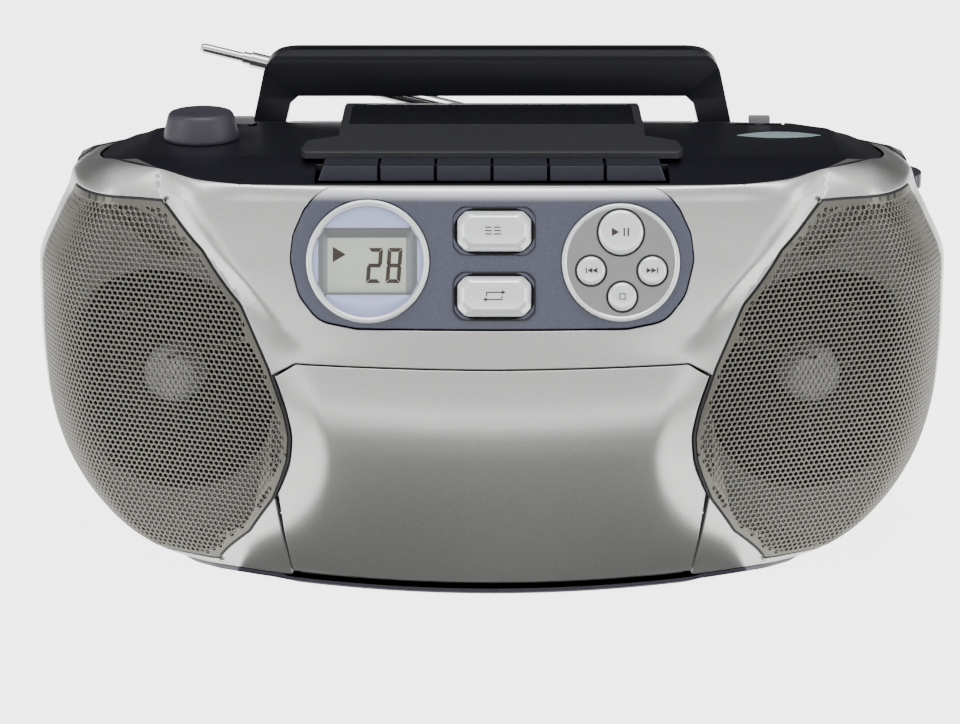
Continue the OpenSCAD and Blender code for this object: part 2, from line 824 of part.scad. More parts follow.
screw_xz = [[-128, 30], [-128, 128], [130, 30], [130, 122], [0, 80], [-40, 126]];

module screws() {
    color(steel) for (p = screw_xz) translate([p[0], 104.4, p[1]]) rotate([90, 0, 0])
        difference() {
            cylinder(r = 3.4, h = 1.4);
            for (a = [0, 90]) rotate(a) cube([4, 0.9, 1.2], center = true);
        }
}

front_cabinet();
rear_cabinet();
top_deck();
control_panel();
display_ring();
display_lens();
lcd_module();
cd_button_plate();
program_button();
repeat_button();
play_pause_button();
previous_button();
next_button();
stop_button();
record_key();
play_key();
rewind_key();
fast_forward_key();
stop_eject_key();
pause_key();
volume_knob();
source_selector();
band_selector();
tuning_knob();
dial_window();
dial_pointer();
speaker_grille_left();
speaker_grille_right();
speaker_frame_left();
speaker_frame_right();
speaker_cone_left();
speaker_cone_right();
cassette_door();
cassette_holder();
tape_chassis();
head_plate();
pinch_roller();
capstan_flywheel();
supply_reel();
takeup_reel();
tape_motor();
cd_lid();
cd_window();
cd_clamper();
cd_chassis();
turntable();
laser_pickup();
carry_handle();
antenna_swivel();
antenna_tube_1();
antenna_tube_2();
antenna_tube_3();
battery_door();
main_board();
transformer();
mains_inlet();
headphone_jack();
feet();
screws();
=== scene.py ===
"""Portable CD, radio and cassette recorder: the looks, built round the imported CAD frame.

Shapes are worked out in millimetres in the part's own frame and written to Blender in metres:
X is to the right, the front faces -Y, and Z is up from the floor.
"""
import math

import bmesh
import bpy
import numpy as np
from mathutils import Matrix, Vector
from mathutils.geometry import delaunay_2d_cdt


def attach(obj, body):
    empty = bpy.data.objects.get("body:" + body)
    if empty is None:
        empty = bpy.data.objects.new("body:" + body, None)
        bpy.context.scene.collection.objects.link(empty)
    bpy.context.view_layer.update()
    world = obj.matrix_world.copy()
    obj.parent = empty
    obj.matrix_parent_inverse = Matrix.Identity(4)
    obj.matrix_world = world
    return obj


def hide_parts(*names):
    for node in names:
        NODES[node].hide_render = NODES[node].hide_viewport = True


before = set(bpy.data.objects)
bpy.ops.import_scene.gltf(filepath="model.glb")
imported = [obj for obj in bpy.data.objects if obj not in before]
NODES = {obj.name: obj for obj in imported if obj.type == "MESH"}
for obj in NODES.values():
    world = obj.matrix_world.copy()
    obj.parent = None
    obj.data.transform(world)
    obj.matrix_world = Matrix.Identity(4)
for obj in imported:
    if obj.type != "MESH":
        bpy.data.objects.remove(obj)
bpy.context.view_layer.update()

MM = 0.001
SIDES = (("right", 1), ("left", -1))

# ---------------------------------------------------------------- camera and light
cam = bpy.data.cameras.new("camera")
camera = bpy.data.objects.new("camera", cam)
bpy.context.collection.objects.link(camera)
camera.location = (0.0, -1.387, 0.484)
LOOKS_DOWN = 16.4
camera.rotation_euler = (math.radians(90 - LOOKS_DOWN), 0, 0)
cam.lens = 112.5
cam.shift_x = -0.0125
bpy.context.scene.camera = camera


def area_light(name, loc, aim, size, power):
    """A soft rectangular light of size (x, y) at loc, turned towards aim."""
    data = bpy.data.lights.new(name, "AREA")
    data.energy = power
    data.shape = "RECTANGLE"
    data.size, data.size_y = size
    ob = bpy.data.objects.new(name, data)
    bpy.context.collection.objects.link(ob)
    ob.location = loc
    ob.rotation_euler = (Vector(aim) - Vector(loc)).to_track_quat("-Z", "Y").to_euler()


area_light("key_overhead", (0.0, -0.25, 1.3), (0, -0.08, 0.1), (1.0, 0.5), 9)
area_light("fill_left", (-1.5, -0.7, 0.7), (0, 0, 0.1), (0.6, 0.9), 4)
area_light("fill_right", (1.5, -0.7, 0.7), (0, 0, 0.1), (0.6, 0.9), 4)


def add_node(tree, kind, **inputs):
    """A shader node with its inputs set by name; an underscore stands for a space."""
    node = tree.nodes.new("ShaderNode" + kind)
    for key, value in inputs.items():
        node.inputs[key.replace("_", " ")].default_value = value
    return node


# The sky: brightness by height, and darker behind the part than before it.
SKY_STOPS = [(0.0, 0.2), (0.03, 2.5), (0.14, 2.3), (0.22, 0.95), (0.5, 0.8), (0.75, 1.2),
             (1.0, 1.3)]
world = bpy.data.worlds.new("world")
bpy.context.scene.world = world
world.use_nodes = True
wt = world.node_tree
sky = wt.nodes["Background"]
split = add_node(wt, "SeparateXYZ")
wt.links.new(add_node(wt, "TexCoord").outputs["Generated"], split.inputs[0])
shade = add_node(wt, "ValToRGB")
wt.links.new(split.outputs["Z"], shade.inputs["Fac"])
wt.links.new(shade.outputs["Color"], sky.inputs["Color"])
for k, (pos, v) in enumerate(SKY_STOPS):
    e = shade.color_ramp.elements[k] if k < 2 else shade.color_ramp.elements.new(pos)
    e.position = pos
    e.color = (v, v, v * 1.01, 1)
front = add_node(wt, "MapRange", From_Min=-0.25, From_Max=0.75, To_Min=1.0, To_Max=0.05)
wt.links.new(split.outputs["Y"], front.inputs["Value"])
wt.links.new(front.outputs["Result"], sky.inputs["Strength"])


# ---------------------------------------------------------------- materials
def material(name, color, rough, metal=0.0, vary=0.06, scale=900.0, bump=0.02, coat=0.0,
             flake=0.0, spec=0.5, glow=0.0):
    """A Principled material whose colour, roughness and bump come from noise at the real scale."""
    m = bpy.data.materials.new(name)
    m.use_nodes = True
    nt = m.node_tree
    b = nt.nodes["Principled BSDF"]
    for key, value in {"Metallic": metal, "Coat Weight": coat, "Coat Roughness": 0.06, "IOR": 1.5,
                       "Specular IOR Level": spec, "Emission Color": (1, 1, 1, 1),
                       "Emission Strength": glow}.items():
        b.inputs[key].default_value = value
    at = add_node(nt, "TexCoord").outputs["Object"]
    fine = add_node(nt, "TexNoise", Scale=scale, Detail=3)
    broad = add_node(nt, "TexNoise", Scale=14, Detail=4)
    nt.links.new(at, fine.inputs["Vector"])
    nt.links.new(at, broad.inputs["Vector"])
    ramp = add_node(nt, "ValToRGB")
    lo, hi = ramp.color_ramp.elements
    lo.position, hi.position = 0.3, 0.7
    lo.color = (*[max(c * (1 - vary), 0) for c in color], 1)
    hi.color = (*[min(c * (1 + vary) + flake, 1) for c in color], 1)
    nt.links.new(fine.outputs["Fac"], ramp.inputs["Fac"])
    nt.links.new(ramp.outputs["Color"], b.inputs["Base Color"])
    rr = add_node(nt, "MapRange", To_Min=max(rough - 0.05, 0.01), To_Max=min(rough + 0.05, 1))
    nt.links.new(broad.outputs["Fac"], rr.inputs["Value"])
    nt.links.new(rr.outputs["Result"], b.inputs["Roughness"])
    if bump:
        bp = add_node(nt, "Bump", Strength=bump, Distance=0.0004)
        nt.links.new(fine.outputs["Fac"], bp.inputs["Height"])
        nt.links.new(bp.outputs["Normal"], b.inputs["Normal"])
    return m


def along_axis(mat, axis, lo, hi, top=1.0):
    """A smooth ramp from 0 at lo to top at hi, along one object axis in metres."""
    nt = mat.node_tree
    at = add_node(nt, "SeparateXYZ")
    nt.links.new(add_node(nt, "TexCoord").outputs["Object"], at.inputs[0])
    ramp = add_node(nt, "MapRange", From_Min=lo, From_Max=hi, To_Max=top)
    ramp.interpolation_type = "SMOOTHSTEP"
    nt.links.new(at.outputs[axis], ramp.inputs["Value"])
    return ramp.outputs["Result"]


def painted_highlight_above(mat, lo, hi, color):
    """Paints a highlight: blends the material to a light colour over heights lo to hi."""
    nt = mat.node_tree
    base = nt.nodes["Principled BSDF"].inputs["Base Color"]
    mix = add_node(nt, "MixRGB", Color2=(*color, 1))
    nt.links.new(along_axis(mat, "Z", lo, hi), mix.inputs["Fac"])
    nt.links.new(base.links[0].from_socket, mix.inputs["Color1"])
    nt.links.new(mix.outputs["Color"], base)


SILVER = material("silver_paint", (0.62, 0.62, 0.605), 0.30, metal=0.92, vary=0.07, scale=1500,
                  bump=0.03, flake=0.02)
GRILLE = material("grille_metal", (0.175, 0.17, 0.148), 0.36, metal=1.0, vary=0.05, scale=700)
BLACK = material("black_gloss", (0.003, 0.003, 0.006), 0.2, vary=0.2, scale=600, bump=0.015)
HANDLE = material("handle_black", (0.003, 0.003, 0.006), 0.3, vary=0.2, scale=700, bump=0.01,
                  spec=0.22)
SATIN = material("black_satin", (0.004, 0.004, 0.008), 0.32, vary=0.2, scale=1200, bump=0.06)
TEXTURED = material("black_textured", (0.014, 0.014, 0.019), 0.5, vary=0.3, scale=1700, bump=0.5)
SLATE = material("slate_paint", (0.083, 0.087, 0.12), 0.38, metal=0.55, vary=0.16, scale=2600,
                 bump=0.04, flake=0.02)
# Painted highlight: the slate panel turns pale silver along its top edge, where its rounded top
# would catch the light.
painted_highlight_above(SLATE, 0.1765, 0.1815, (0.8, 0.81, 0.84))
KEYS = material("key_paint", (0.022, 0.022, 0.034), 0.36, metal=0.2, vary=0.1, scale=2000)
KNOB = material("knob_plastic", (0.032, 0.029, 0.042), 0.45, vary=0.12, scale=1500, bump=0.08)
PEARL = material("pearl_paint", (0.86, 0.87, 0.88), 0.26, metal=0.6, vary=0.04, scale=1800)
PLATE = material("plate_metal", (0.34, 0.34, 0.345), 0.36, metal=0.85, vary=0.06, scale=1600)
GASKET = material("gasket", (0.012, 0.012, 0.014), 0.5, vary=0.2)
BAFFLE = material("baffle_plastic", (0.32, 0.32, 0.305), 0.6, vary=0.08)
CONE = material("cone_paper", (0.006, 0.006, 0.006), 0.75, vary=0.3, scale=500, bump=0.3)
CAP = material("dust_cap", (0.8, 0.81, 0.82), 0.35, metal=0.2, vary=0.06, scale=900)
CHROME = material("chrome", (0.75, 0.75, 0.76), 0.12, metal=1.0, vary=0.03, scale=300)
STEEL = material("zinc_steel", (0.5, 0.5, 0.49), 0.35, metal=1.0, vary=0.08, scale=220)
RUBBER = material("rubber", (0.015, 0.015, 0.015), 0.7, vary=0.25, scale=900, bump=0.2)
DARK = material("dark_plastic", (0.03, 0.03, 0.033), 0.5, vary=0.2, scale=1100, bump=0.1)
GREY = material("grey_plastic", (0.2, 0.2, 0.21), 0.45, vary=0.1, scale=1100)
WHITE = material("white_plastic", (0.78, 0.78, 0.75), 0.4, vary=0.04, scale=900)
BOARD = material("circuit_board", (0.02, 0.12, 0.05), 0.4, vary=0.3, scale=160)
LENS = material("lens_lavender", (0.36, 0.39, 0.62), 0.07, vary=0.03, scale=60, bump=0, coat=1.0)
TEAL = material("dial_teal", (0.30, 0.42, 0.45), 0.15, vary=0.08, scale=90, bump=0, coat=0.5)
LCD = material("lcd_glass", (0.40, 0.44, 0.37), 0.12, vary=0.04, scale=120, bump=0, coat=0.6)
BEZEL = material("bezel_plastic", (0.17, 0.175, 0.18), 0.35, metal=0.3, vary=0.05, scale=900)
INK = material("segment_ink", (0.035, 0.025, 0.02), 0.3, vary=0.2, scale=400, bump=0)
RED = material("pointer_red", (0.45, 0.06, 0.04), 0.3, vary=0.08)
FLOOR = material("floor", (0.9, 0.9, 0.9), 0.8, vary=0.01, scale=20, bump=0, glow=2.6, spec=0.0)
MIRRORED = material("floor_mirrored", (0.9, 0.9, 0.9), 0.8, vary=0.01, scale=20, bump=0, glow=1.5,
                    spec=0.0)
CARD = material("dark_card", (0.03, 0.03, 0.029), 0.9, vary=0.05, scale=4, bump=0, spec=0.0)


# ---------------------------------------------------------------- mesh helpers
def pchip(xs, ys):
    """A smooth curve through the points that never overshoots, as a function of arrays."""
    xs = np.asarray(xs, float)
    ys = np.asarray(ys, float)
    h = np.diff(xs)
    d = np.diff(ys) / h
    m = np.zeros(len(xs))
    m[0], m[-1] = d[0], d[-1]
    for i in range(1, len(xs) - 1):
        if d[i - 1] * d[i] > 0:
            w1, w2 = 2 * h[i] + h[i - 1], h[i] + 2 * h[i - 1]
            m[i] = (w1 + w2) / (w1 / d[i - 1] + w2 / d[i])

    def f(x):
        x = np.clip(np.asarray(x, float), xs[0], xs[-1])
        i = np.clip(np.searchsorted(xs, x) - 1, 0, len(xs) - 2)
        t = (x - xs[i]) / h[i]
        a = (1 + 2 * t) * (1 - t) ** 2
        b = t * (1 - t) ** 2
        c = t * t * (3 - 2 * t)
        e = t * t * (t - 1)
        return a * ys[i] + b * h[i] * m[i] + c * ys[i + 1] + e * h[i] * m[i + 1]

    return f


def sstep(t):
    """Smooth step from 0 to 1."""
    t = np.clip(t, 0, 1)
    return t * t * (3 - 2 * t)


def dense(loop, step=1.5, closed=True):
    """The loop with points added so that no side is longer than step."""
    pts = [np.asarray(p, float) for p in loop]
    out = []
    n = len(pts)
    for i in range(n if closed else n - 1):
        a, b = pts[i], pts[(i + 1) % n]
        k = max(1, int(math.ceil(np.linalg.norm(b - a) / step)))
        out += [a + (b - a) * j / k for j in range(k)]
    if not closed:
        out.append(pts[-1])
    return np.array(out)


def rounded(loop, radius, steps=6):
    """A closed polygon with its corners rounded; radius is one number or one per corner."""
    pts = [np.asarray(p, float) for p in loop]
    n = len(pts)
    out = []
    for i in range(n):
        r = radius[i] if isinstance(radius, (list, tuple)) else radius
        p, a, b = pts[i], pts[i - 1], pts[(i + 1) % n]
        da, db = a - p, b - p
        la, lb = np.linalg.norm(da), np.linalg.norm(db)
        if r <= 0:
            out.append(p)
            continue
        cosang = np.clip(np.dot(da, db) / la / lb, -1, 1)
        cut = min(r / max(math.tan(math.acos(cosang) / 2), 1e-6), la * 0.49, lb * 0.49)
        s, e = p + da / la * cut, p + db / lb * cut
        for j in range(steps + 1):
            t = j / steps
            out.append((1 - t) ** 2 * s + 2 * t * (1 - t) * p + t * t * e)
    return np.array(out)


def inside(pts, loop):
    """Which of pts lie inside the closed loop."""
    x, y = pts[:, 0], pts[:, 1]
    r = np.zeros(len(pts), bool)
    n = len(loop)
    for i in range(n):
        x1, y1 = loop[i]
        x2, y2 = loop[(i + 1) % n]
        if y1 == y2:
            continue
        c = (y1 > y) != (y2 > y)
        r ^= c & (x < (x2 - x1) * (y - y1) / (y2 - y1) + x1)
    return r


def clearance(pts, loop):
    """Distance from each of pts to the closed loop."""
    d = np.full(len(pts), 1e9)
    n = len(loop)
    for i in range(n):
        a, b = loop[i], loop[(i + 1) % n]
        ab = b - a
        t = np.clip(((pts - a) @ ab) / max(ab @ ab, 1e-12), 0, 1)
        q = a + t[:, None] * ab
        d = np.minimum(d, np.hypot(*(pts - q).T))
    return d


def anticlockwise(loop):
    """Whether a closed loop runs anticlockwise."""
    x, y = loop[:, 0], loop[:, 1]
    return np.sum(x * np.roll(y, -1) - np.roll(x, -1) * y) > 0


def loop_normals(loop):
    """Unit normals of a closed loop that point out of it."""
    t = np.roll(loop, -1, 0) - np.roll(loop, 1, 0)
    t /= np.maximum(np.hypot(*t.T), 1e-9)[:, None]
    n = np.stack([t[:, 1], -t[:, 0]], 1)
    return n if anticlockwise(loop) else -n


def grow(loop, d):
    """The closed loop moved outwards by d."""
    return loop + loop_normals(loop) * d


def thin(loop, step=0.7):
    """The loop without points that are closer than step to the one before."""
    keep = [loop[0]]
    for p in loop[1:]:
        if np.hypot(*(p - keep[-1])) > step:
            keep.append(p)
    return np.array(keep)


def chained(loops):
    """The edges that close each loop, numbered as if all their points were in one list."""
    edges, at = [], 0
    for loop in loops:
        n = len(loop)
        edges += [(at + i, at + (i + 1) % n) for i in range(n)]
        at += n
    return edges


def triangulate(points, edges, eps=1e-6):
    """Triangles over the points that keep the edges: points, faces and each face's middle."""
    cdt = delaunay_2d_cdt([Vector(p) for p in points], edges, [], 0, eps)
    uv = np.array([tuple(v) for v in cdt[0]])
    faces = [list(f) for f in cdt[2]]
    return uv, faces, np.array([uv[f].mean(0) for f in faces])


def upright(face, uv):
    """The triangle, turned over if it doesn't run anticlockwise."""
    p = uv[face]
    return face if np.cross(p[1] - p[0], p[2] - p[0]) > 0 else face[::-1]


def make(name, verts, faces, mat, body=None, smooth=True, normals=None, angle=None):
    """A mesh object from millimetre points, riding on a body."""
    me = bpy.data.meshes.new(name)
    me.from_pydata([tuple(float(c) * MM for c in v) for v in verts], [],
                   [tuple(int(i) for i in f) for f in faces])
    me.validate()
    ob = bpy.data.objects.new(name, me)
    bpy.context.collection.objects.link(ob)
    me.materials.append(mat)
    if smooth:
        me.polygons.foreach_set("use_smooth", [True] * len(me.polygons))
    if normals is not None:
        me.normals_split_custom_set_from_vertices([tuple(map(float, n)) for n in normals])
    elif angle:
        bpy.context.view_layer.objects.active = ob
        ob.select_set(True)
        bpy.ops.object.shade_auto_smooth(angle=math.radians(angle))
        ob.select_set(False)
    if body:
        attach(ob, body)
    return ob


def surface_normals(lift, uv, h=0.25):
    """Unit normals of the surface lift(uv), from points h to each side."""
    a = lift(uv + [h, 0]) - lift(uv - [h, 0])
    b = lift(uv + [0, h]) - lift(uv - [0, h])
    n = np.cross(a, b)
    return n / np.maximum(np.linalg.norm(n, axis=1), 1e-12)[:, None]


def shifted(lift, d):
    """The same surface moved in by d along its normal."""
    return lambda uv: lift(uv) - surface_normals(lift, uv) * d


def staggered(lo, hi, spacing):
    """Points on a triangular grid between the corners lo and hi."""
    rows = []
    for j, v in enumerate(np.arange(lo[1], hi[1], spacing * 0.866)):
        us = np.arange(lo[0] + (spacing / 2 if j % 2 else 0), hi[0], spacing)
        rows.append(np.stack([us, np.full(len(us), v)], 1))
    return np.concatenate(rows)


def on_sheet(points, loops, gap=None):
    """Which points lie inside the first loop and outside the others, and gap away from all."""
    ok = inside(points, loops[0])
    for loop in loops[1:]:
        ok &= ~inside(points, loop)
    if gap is not None:
        for loop in loops:
            ok &= clearance(points, loop) > gap
    return ok


def patch(name, outer, holes, lift, mat, body, spacing=3.0, roll=0.6, depth=2.0, keep=None,
          square_rim=False):
    """A skin over the area between outer and holes, lifted to 3D, with rolled edges.

    roll is the radius of the rolled edge and depth how far it goes back from the skin. keep
    holds points that must become corners. square_rim leaves the outer edge without a roll.
    """
    loops = [grow(np.asarray(outer, float), -roll)]
    loops += [grow(np.asarray(h, float), roll) for h in holes]
    grid = staggered(loops[0].min(0), loops[0].max(0), spacing)
    grid = grid[on_sheet(grid, loops, spacing * 0.4)]
    if keep is not None:
        keep = keep[on_sheet(keep, loops, 0.5)]
        near = np.full(len(grid), 1e9)
        for q in keep:
            near = np.minimum(near, np.hypot(grid[:, 0] - q[0], grid[:, 1] - q[1]))
        grid = np.concatenate([grid[near > 1.2], keep])
    uv, triangles, middle = triangulate(np.concatenate(loops + [grid]), chained(loops))
    faces = [upright(f, uv) for f, ok in zip(triangles, on_sheet(middle, loops)) if ok]
    verts, normals = [lift(uv)], [surface_normals(lift, uv)]
    count = len(uv)
    for k, loop in enumerate(loops):
        if k == 0 and square_rim:
            continue
        sign = 1 if k == 0 else -1
        base = lift(loop)
        up = surface_normals(lift, loop)
        out = lift(loop + loop_normals(loop) * sign * 0.2) - base
        out -= up * np.sum(out * up, 1)[:, None]
        out /= np.maximum(np.linalg.norm(out, axis=1), 1e-9)[:, None]
        rings = [(base + out * roll * math.sin(a) - up * roll * (1 - math.cos(a)),
                  up * math.cos(a) + out * math.sin(a)) for a in np.linspace(0, math.pi / 2, 5)]
        rings.append((base + out * roll - up * max(depth, roll), out))
        flip = anticlockwise(loop) ^ (sign < 0)
        n = len(loop)
        for r, (pos, normal) in enumerate(rings):
            verts.append(pos)
            normals.append(normal)
            if r:
                for i in range(n):
                    j = (i + 1) % n
                    f = [count - n + i, count + i, count + j, count - n + j]
                    faces.append(f if flip else f[::-1])
            count += n
    return make(name, np.concatenate(verts), faces, mat, body, normals=np.concatenate(normals))


def smooth_group():
    """A modifier group that shades smooth and keeps edges sharper than 38 degrees."""
    g = bpy.data.node_groups.new("smooth_by_edge_angle", "GeometryNodeTree")
    g.interface.new_socket("Geometry", in_out="INPUT", socket_type="NodeSocketGeometry")
    g.interface.new_socket("Geometry", in_out="OUTPUT", socket_type="NodeSocketGeometry")
    a, b = g.nodes.new("NodeGroupInput"), g.nodes.new("NodeGroupOutput")
    face, edge = (g.nodes.new("GeometryNodeSetShadeSmooth") for _ in range(2))
    face.domain, edge.domain = "FACE", "EDGE"
    angle = g.nodes.new("GeometryNodeInputMeshEdgeAngle")
    less = g.nodes.new("ShaderNodeMath")
    less.operation = "LESS_THAN"
    less.inputs[1].default_value = math.radians(38)
    g.links.new(a.outputs[0], face.inputs["Geometry"])
    g.links.new(face.outputs[0], edge.inputs["Geometry"])
    g.links.new(angle.outputs["Unsigned Angle"], less.inputs[0])
    g.links.new(less.outputs[0], edge.inputs["Shade Smooth"])
    g.links.new(edge.outputs[0], b.inputs[0])
    return g


SMOOTH = smooth_group()


def cad(node, mat, bevel=0.0, segments=2):
    """Gives a carried-over CAD node its material, bevelled edges and smooth shading."""
    ob = NODES[node]
    ob.data.materials.clear()
    ob.data.materials.append(mat)
    weld = ob.modifiers.new("weld", "WELD")
    weld.merge_threshold = 0.00001
    if bevel:
        edge = ob.modifiers.new("edge", "BEVEL")
        edge.width = bevel * MM
        edge.segments = segments
        edge.limit_method = "ANGLE"
        edge.angle_limit = math.radians(30)
    shade = ob.modifiers.new("shade", "NODES")
    shade.node_group = SMOOTH
    if bevel:
        even = ob.modifiers.new("even", "WEIGHTED_NORMAL")
        even.keep_sharp = True


# ---------------------------------------------------------------- the cabinet's surface
HALF_W = 212.0
SPLIT_Y = -8.0
FACE_TOP = 176.0
CAP_TOP = 190.0
# Profiles by height: half width, how far the middle leans back, how much it bows, how far the
# speaker faces lean back, the crease beside the door, and the inner edge of the grille.
width_at = pchip([5, 7, 9.8, 16, 24.4, 34.7, 47, 61.5, 78, 108, 134, 158, 169, 178, 182, 184.5,
                  190],
                 [151, 160, 168, 179.5, 189, 197, 203.3, 207.8, 210.5, 212, 212, 203, 197.5, 194.5,
                  188, 173, 160])
centre_lean = pchip([5, 20, 40, 58, 70, 76, 80, 84, 88, 92, 98, 107, 112, 122, 151, 176, 182, 190],
                    [6.6, 4.2, 1.9, 0.5, 0.0, 0.15, 0.5, 1.1, 1.9, 2.95, 4.9, 8.3, 10.3, 14.2, 23.6,
                     31.8, 34.5, 38])
crown = pchip([5, 30, 83, 107, 122, 135, 151, 182], [38, 30, 22, 20, 12, 8, 6, 5])
grille_lean = pchip([5, 12, 25, 45, 65, 85, 100, 112, 135, 158, 164, 169, 174.5, 178, 190],
                    [3, 2, 1, 0.5, 0, 0.5, 2, 3.5, 6, 7, 8.2, 10.2, 13, 15, 22])
crease_x = pchip([5, 11, 20, 27, 34, 44, 56, 69.5, 85.5, 99, 112, 135, 155, 168, 178, 190],
                 [113.5, 106.5, 97, 90.5, 84, 78.5, 75.2, 73.9, 76.5, 80, 86.4, 103, 121, 131.5,
                  136, 140])
grille_x = pchip([5, 9, 26, 44, 53, 62, 73, 84, 104, 131, 152, 174, 178, 190],
                 [128, 124.5, 109.5, 98, 94, 91, 90, 92, 99, 111.5, 127, 147.5, 151, 160])


def bezier(p0, p1, p2, n):
    """n points of a quadratic curve from p0 to p2."""
    t = np.linspace(0, 1, n)[:, None]
    return (1 - t) ** 2 * np.array(p0) + 2 * t * (1 - t) * np.array(p1) + t * t * np.array(p2)


# Base plan of the right half: middle of the front, toed-out face, round corner in two curves,
# side wall, rear corner in two curves, and rear wall.
FRONT_N = 12 + 20 + 9 + 7
PLAN = np.concatenate([
    [(x, -125.0 + 5.0 * (x / 76.0) ** 2) for x in np.linspace(0, 70, 12)],
    [(x, -109.5 + (x - 94) * 0.344) for x in np.linspace(92, 178, 20)],
    bezier((180, -79.9), (193, -75.4), (202, -58), 9),
    bezier((202, -58), (209, -44), (211.8, -28), 8)[1:],
    [(212.0, -24), (212.0, -18), (211.4, SPLIT_Y)],
    bezier((211, 2), (205, 50), (188, 82), 12),
    bezier((186, 85), (174, 103), (146, 103), 12)[1:],
    [(x, 103.0) for x in np.linspace(140, 0, 15)],
])
PLAN_S = np.concatenate([[0], np.cumsum(np.hypot(*np.diff(PLAN, axis=0).T))])
S_SIDE = float(PLAN_S[FRONT_N - 1])
S_END = float(PLAN_S[FRONT_N + 2])
S_BACK = float(PLAN_S[-1])
SIDE_FROM = 150


def plan_at(s):
    """Base plan (x, y) at |s|, and on round the back for s beyond the middle of the rear wall."""
    a = np.abs(np.asarray(s, float))
    sign = np.sign(s) * np.where(a > S_BACK, -1, 1)
    a = np.where(a > S_BACK, 2 * S_BACK - a, a)
    return sign, np.interp(a, PLAN_S, PLAN[:, 0]), np.interp(a, PLAN_S, PLAN[:, 1])


def squeeze(xb, z):
    """The section at height z is narrower than the base plan, mostly in its outer part."""
    power = 1.15 + 0.6 * (1 - sstep((z - 30) / 60.0))
    return xb - (HALF_W - width_at(z)) * np.clip((xb - 75) / 137.0, 0, 1) ** power


def base_x(x, z):
    """The base plan's x that squeeze() turns into this x at height z."""
    lo, hi = np.zeros_like(x), np.full_like(x, HALF_W)
    for _ in range(36):
        mid = (lo + hi) / 2
        low = squeeze(mid, z) < x
        lo, hi = np.where(low, mid, lo), np.where(low, hi, mid)
    return (lo + hi) / 2


def s_of_x(x, z):
    """Plan parameter at which the front has this x at height z."""
    x, z = np.broadcast_arrays(np.asarray(x, float), np.asarray(z, float))
    xb = base_x(np.abs(x), z)
    return np.sign(x) * np.interp(xb, PLAN[:FRONT_N, 0], PLAN_S[:FRONT_N])


def soft_max(a, b, r):
    """The larger of a and b, with the corner between them rounded over about r."""
    h = np.clip(0.5 + 0.5 * (a - b) / r, 0, 1)
    return b * (1 - h) + a * h + r * h * (1 - h)


def front_y(x, s, py, z):
    """Depth of the front skin: a leaning middle, a chamfer, and the toed-out speaker faces."""
    ax = np.abs(x)
    yc = -125.0 + centre_lean(z) + crown(z) * (ax / 143.0) ** 2
    fade = 1 - 0.55 * sstep((np.abs(s) - SIDE_FROM) / 90.0)
    yg = py + grille_lean(z) * fade
    xc, xg = crease_x(z), grille_x(z)
    w = np.maximum(xg - xc, 1.5)
    yc_edge = -125.0 + centre_lean(z) + crown(z) * (xc / 143.0) ** 2
    yg_edge = plan_at(s_of_x(xg, z))[2] + grille_lean(z)
    band = yc_edge + np.maximum(yg_edge - yc_edge, 0.3) * (ax - xc) / w
    y = soft_max(yc, band, 1.0 + 7.0 * sstep((z - 140) / 34.0))
    t = (ax - xc) / w
    y = np.where(t > 1.0, yg, y)
    return soft_max(y, np.where(np.abs(s) > SIDE_FROM, py, -300), 1.5)


# The edge of the deck opening, where the skin ends at the top.
DECK_AT = [0, 60, 112, 140, 165, 195, 215, 240, S_END, S_END + 30, S_END + 60, S_END + 105,
           S_END + 150, S_BACK]
deck_x = pchip(DECK_AT, [0, 57, 106, 130, 150, 170, 178, 181, 176, 160, 142, 125, 122, 0])
deck_y = pchip(DECK_AT, [-87.5, -87.5, -87.3, -82, -70, -51.5, -40, -25, SPLIT_Y, 8, 26, 60, 92,
                         92])
deck_z = pchip(DECK_AT, [183.4, 183.4, 183.6, 184.6, 187.2, 187.2, 185.6, 184.5, 185.5, 187, 184.5,
                         174, 174, 174])


def body_at(uv):
    """Cabinet skin for (s, t): t is the height up to FACE_TOP, then the way over the top edge."""
    s, t = uv[:, 0], uv[:, 1]
    z = np.minimum(t, FACE_TOP)
    sign, xb, py = plan_at(s)
    xs = squeeze(xb, z)
    a = np.abs(s)
    back = np.where(py > SPLIT_Y, -2.5 * sstep((z - 160) / 16.0) * sstep((py - 60) / 40.0), 0)
    y = np.where(a <= S_END, front_y(xs, np.minimum(a, S_END), py, z), py + back)
    p = np.stack([sign * xs, y, z], 1)
    q = np.clip((t - FACE_TOP) / (CAP_TOP - FACE_TOP), 0, 1)[:, None]
    a = np.where(a > S_BACK, 2 * S_BACK - a, a)
    b = np.stack([sign * deck_x(a), deck_y(a), deck_z(a)], 1)
    flat = sstep((a - 95) / 60.0)
    cx = p[:, 0] * (0.85 - 0.2 * flat) + b[:, 0] * (0.15 + 0.2 * flat)
    cy = p[:, 1] * (0.75 - 0.1 * flat) + b[:, 1] * (0.25 + 0.1 * flat)
    cz = b[:, 2] - (0.3 + 2.0 * flat)
    c = np.stack([cx, cy, np.maximum(cz, z)], 1)
    return (1 - q) ** 2 * p + 2 * q * (1 - q) * c + q * q * b


MID_T = np.linspace(FACE_TOP, CAP_TOP, 60)
MID_Z = body_at(np.stack([np.full(60, 40.0), MID_T], 1))[:, 2]


def to_s(loop):
    """A front view outline (x, z) turned into the skin's own (s, t)."""
    loop = np.asarray(loop, float)
    z = np.minimum(loop[:, 1], FACE_TOP)
    t = np.where(loop[:, 1] > FACE_TOP, np.interp(loop[:, 1], MID_Z, MID_T), loop[:, 1])
    return np.stack([s_of_x(loop[:, 0], z), t], 1)


def mirrored(loop):
    """The closed loop of the other half, running the same way round."""
    return np.stack([-loop[::-1, 0], loop[::-1, 1]], 1)


def whole(half):
    """A closed outline from its right half, given from the bottom middle to the top middle."""
    return list(half) + [(-x, z) for x, z in half[::-1] if abs(x) > 1e-6]


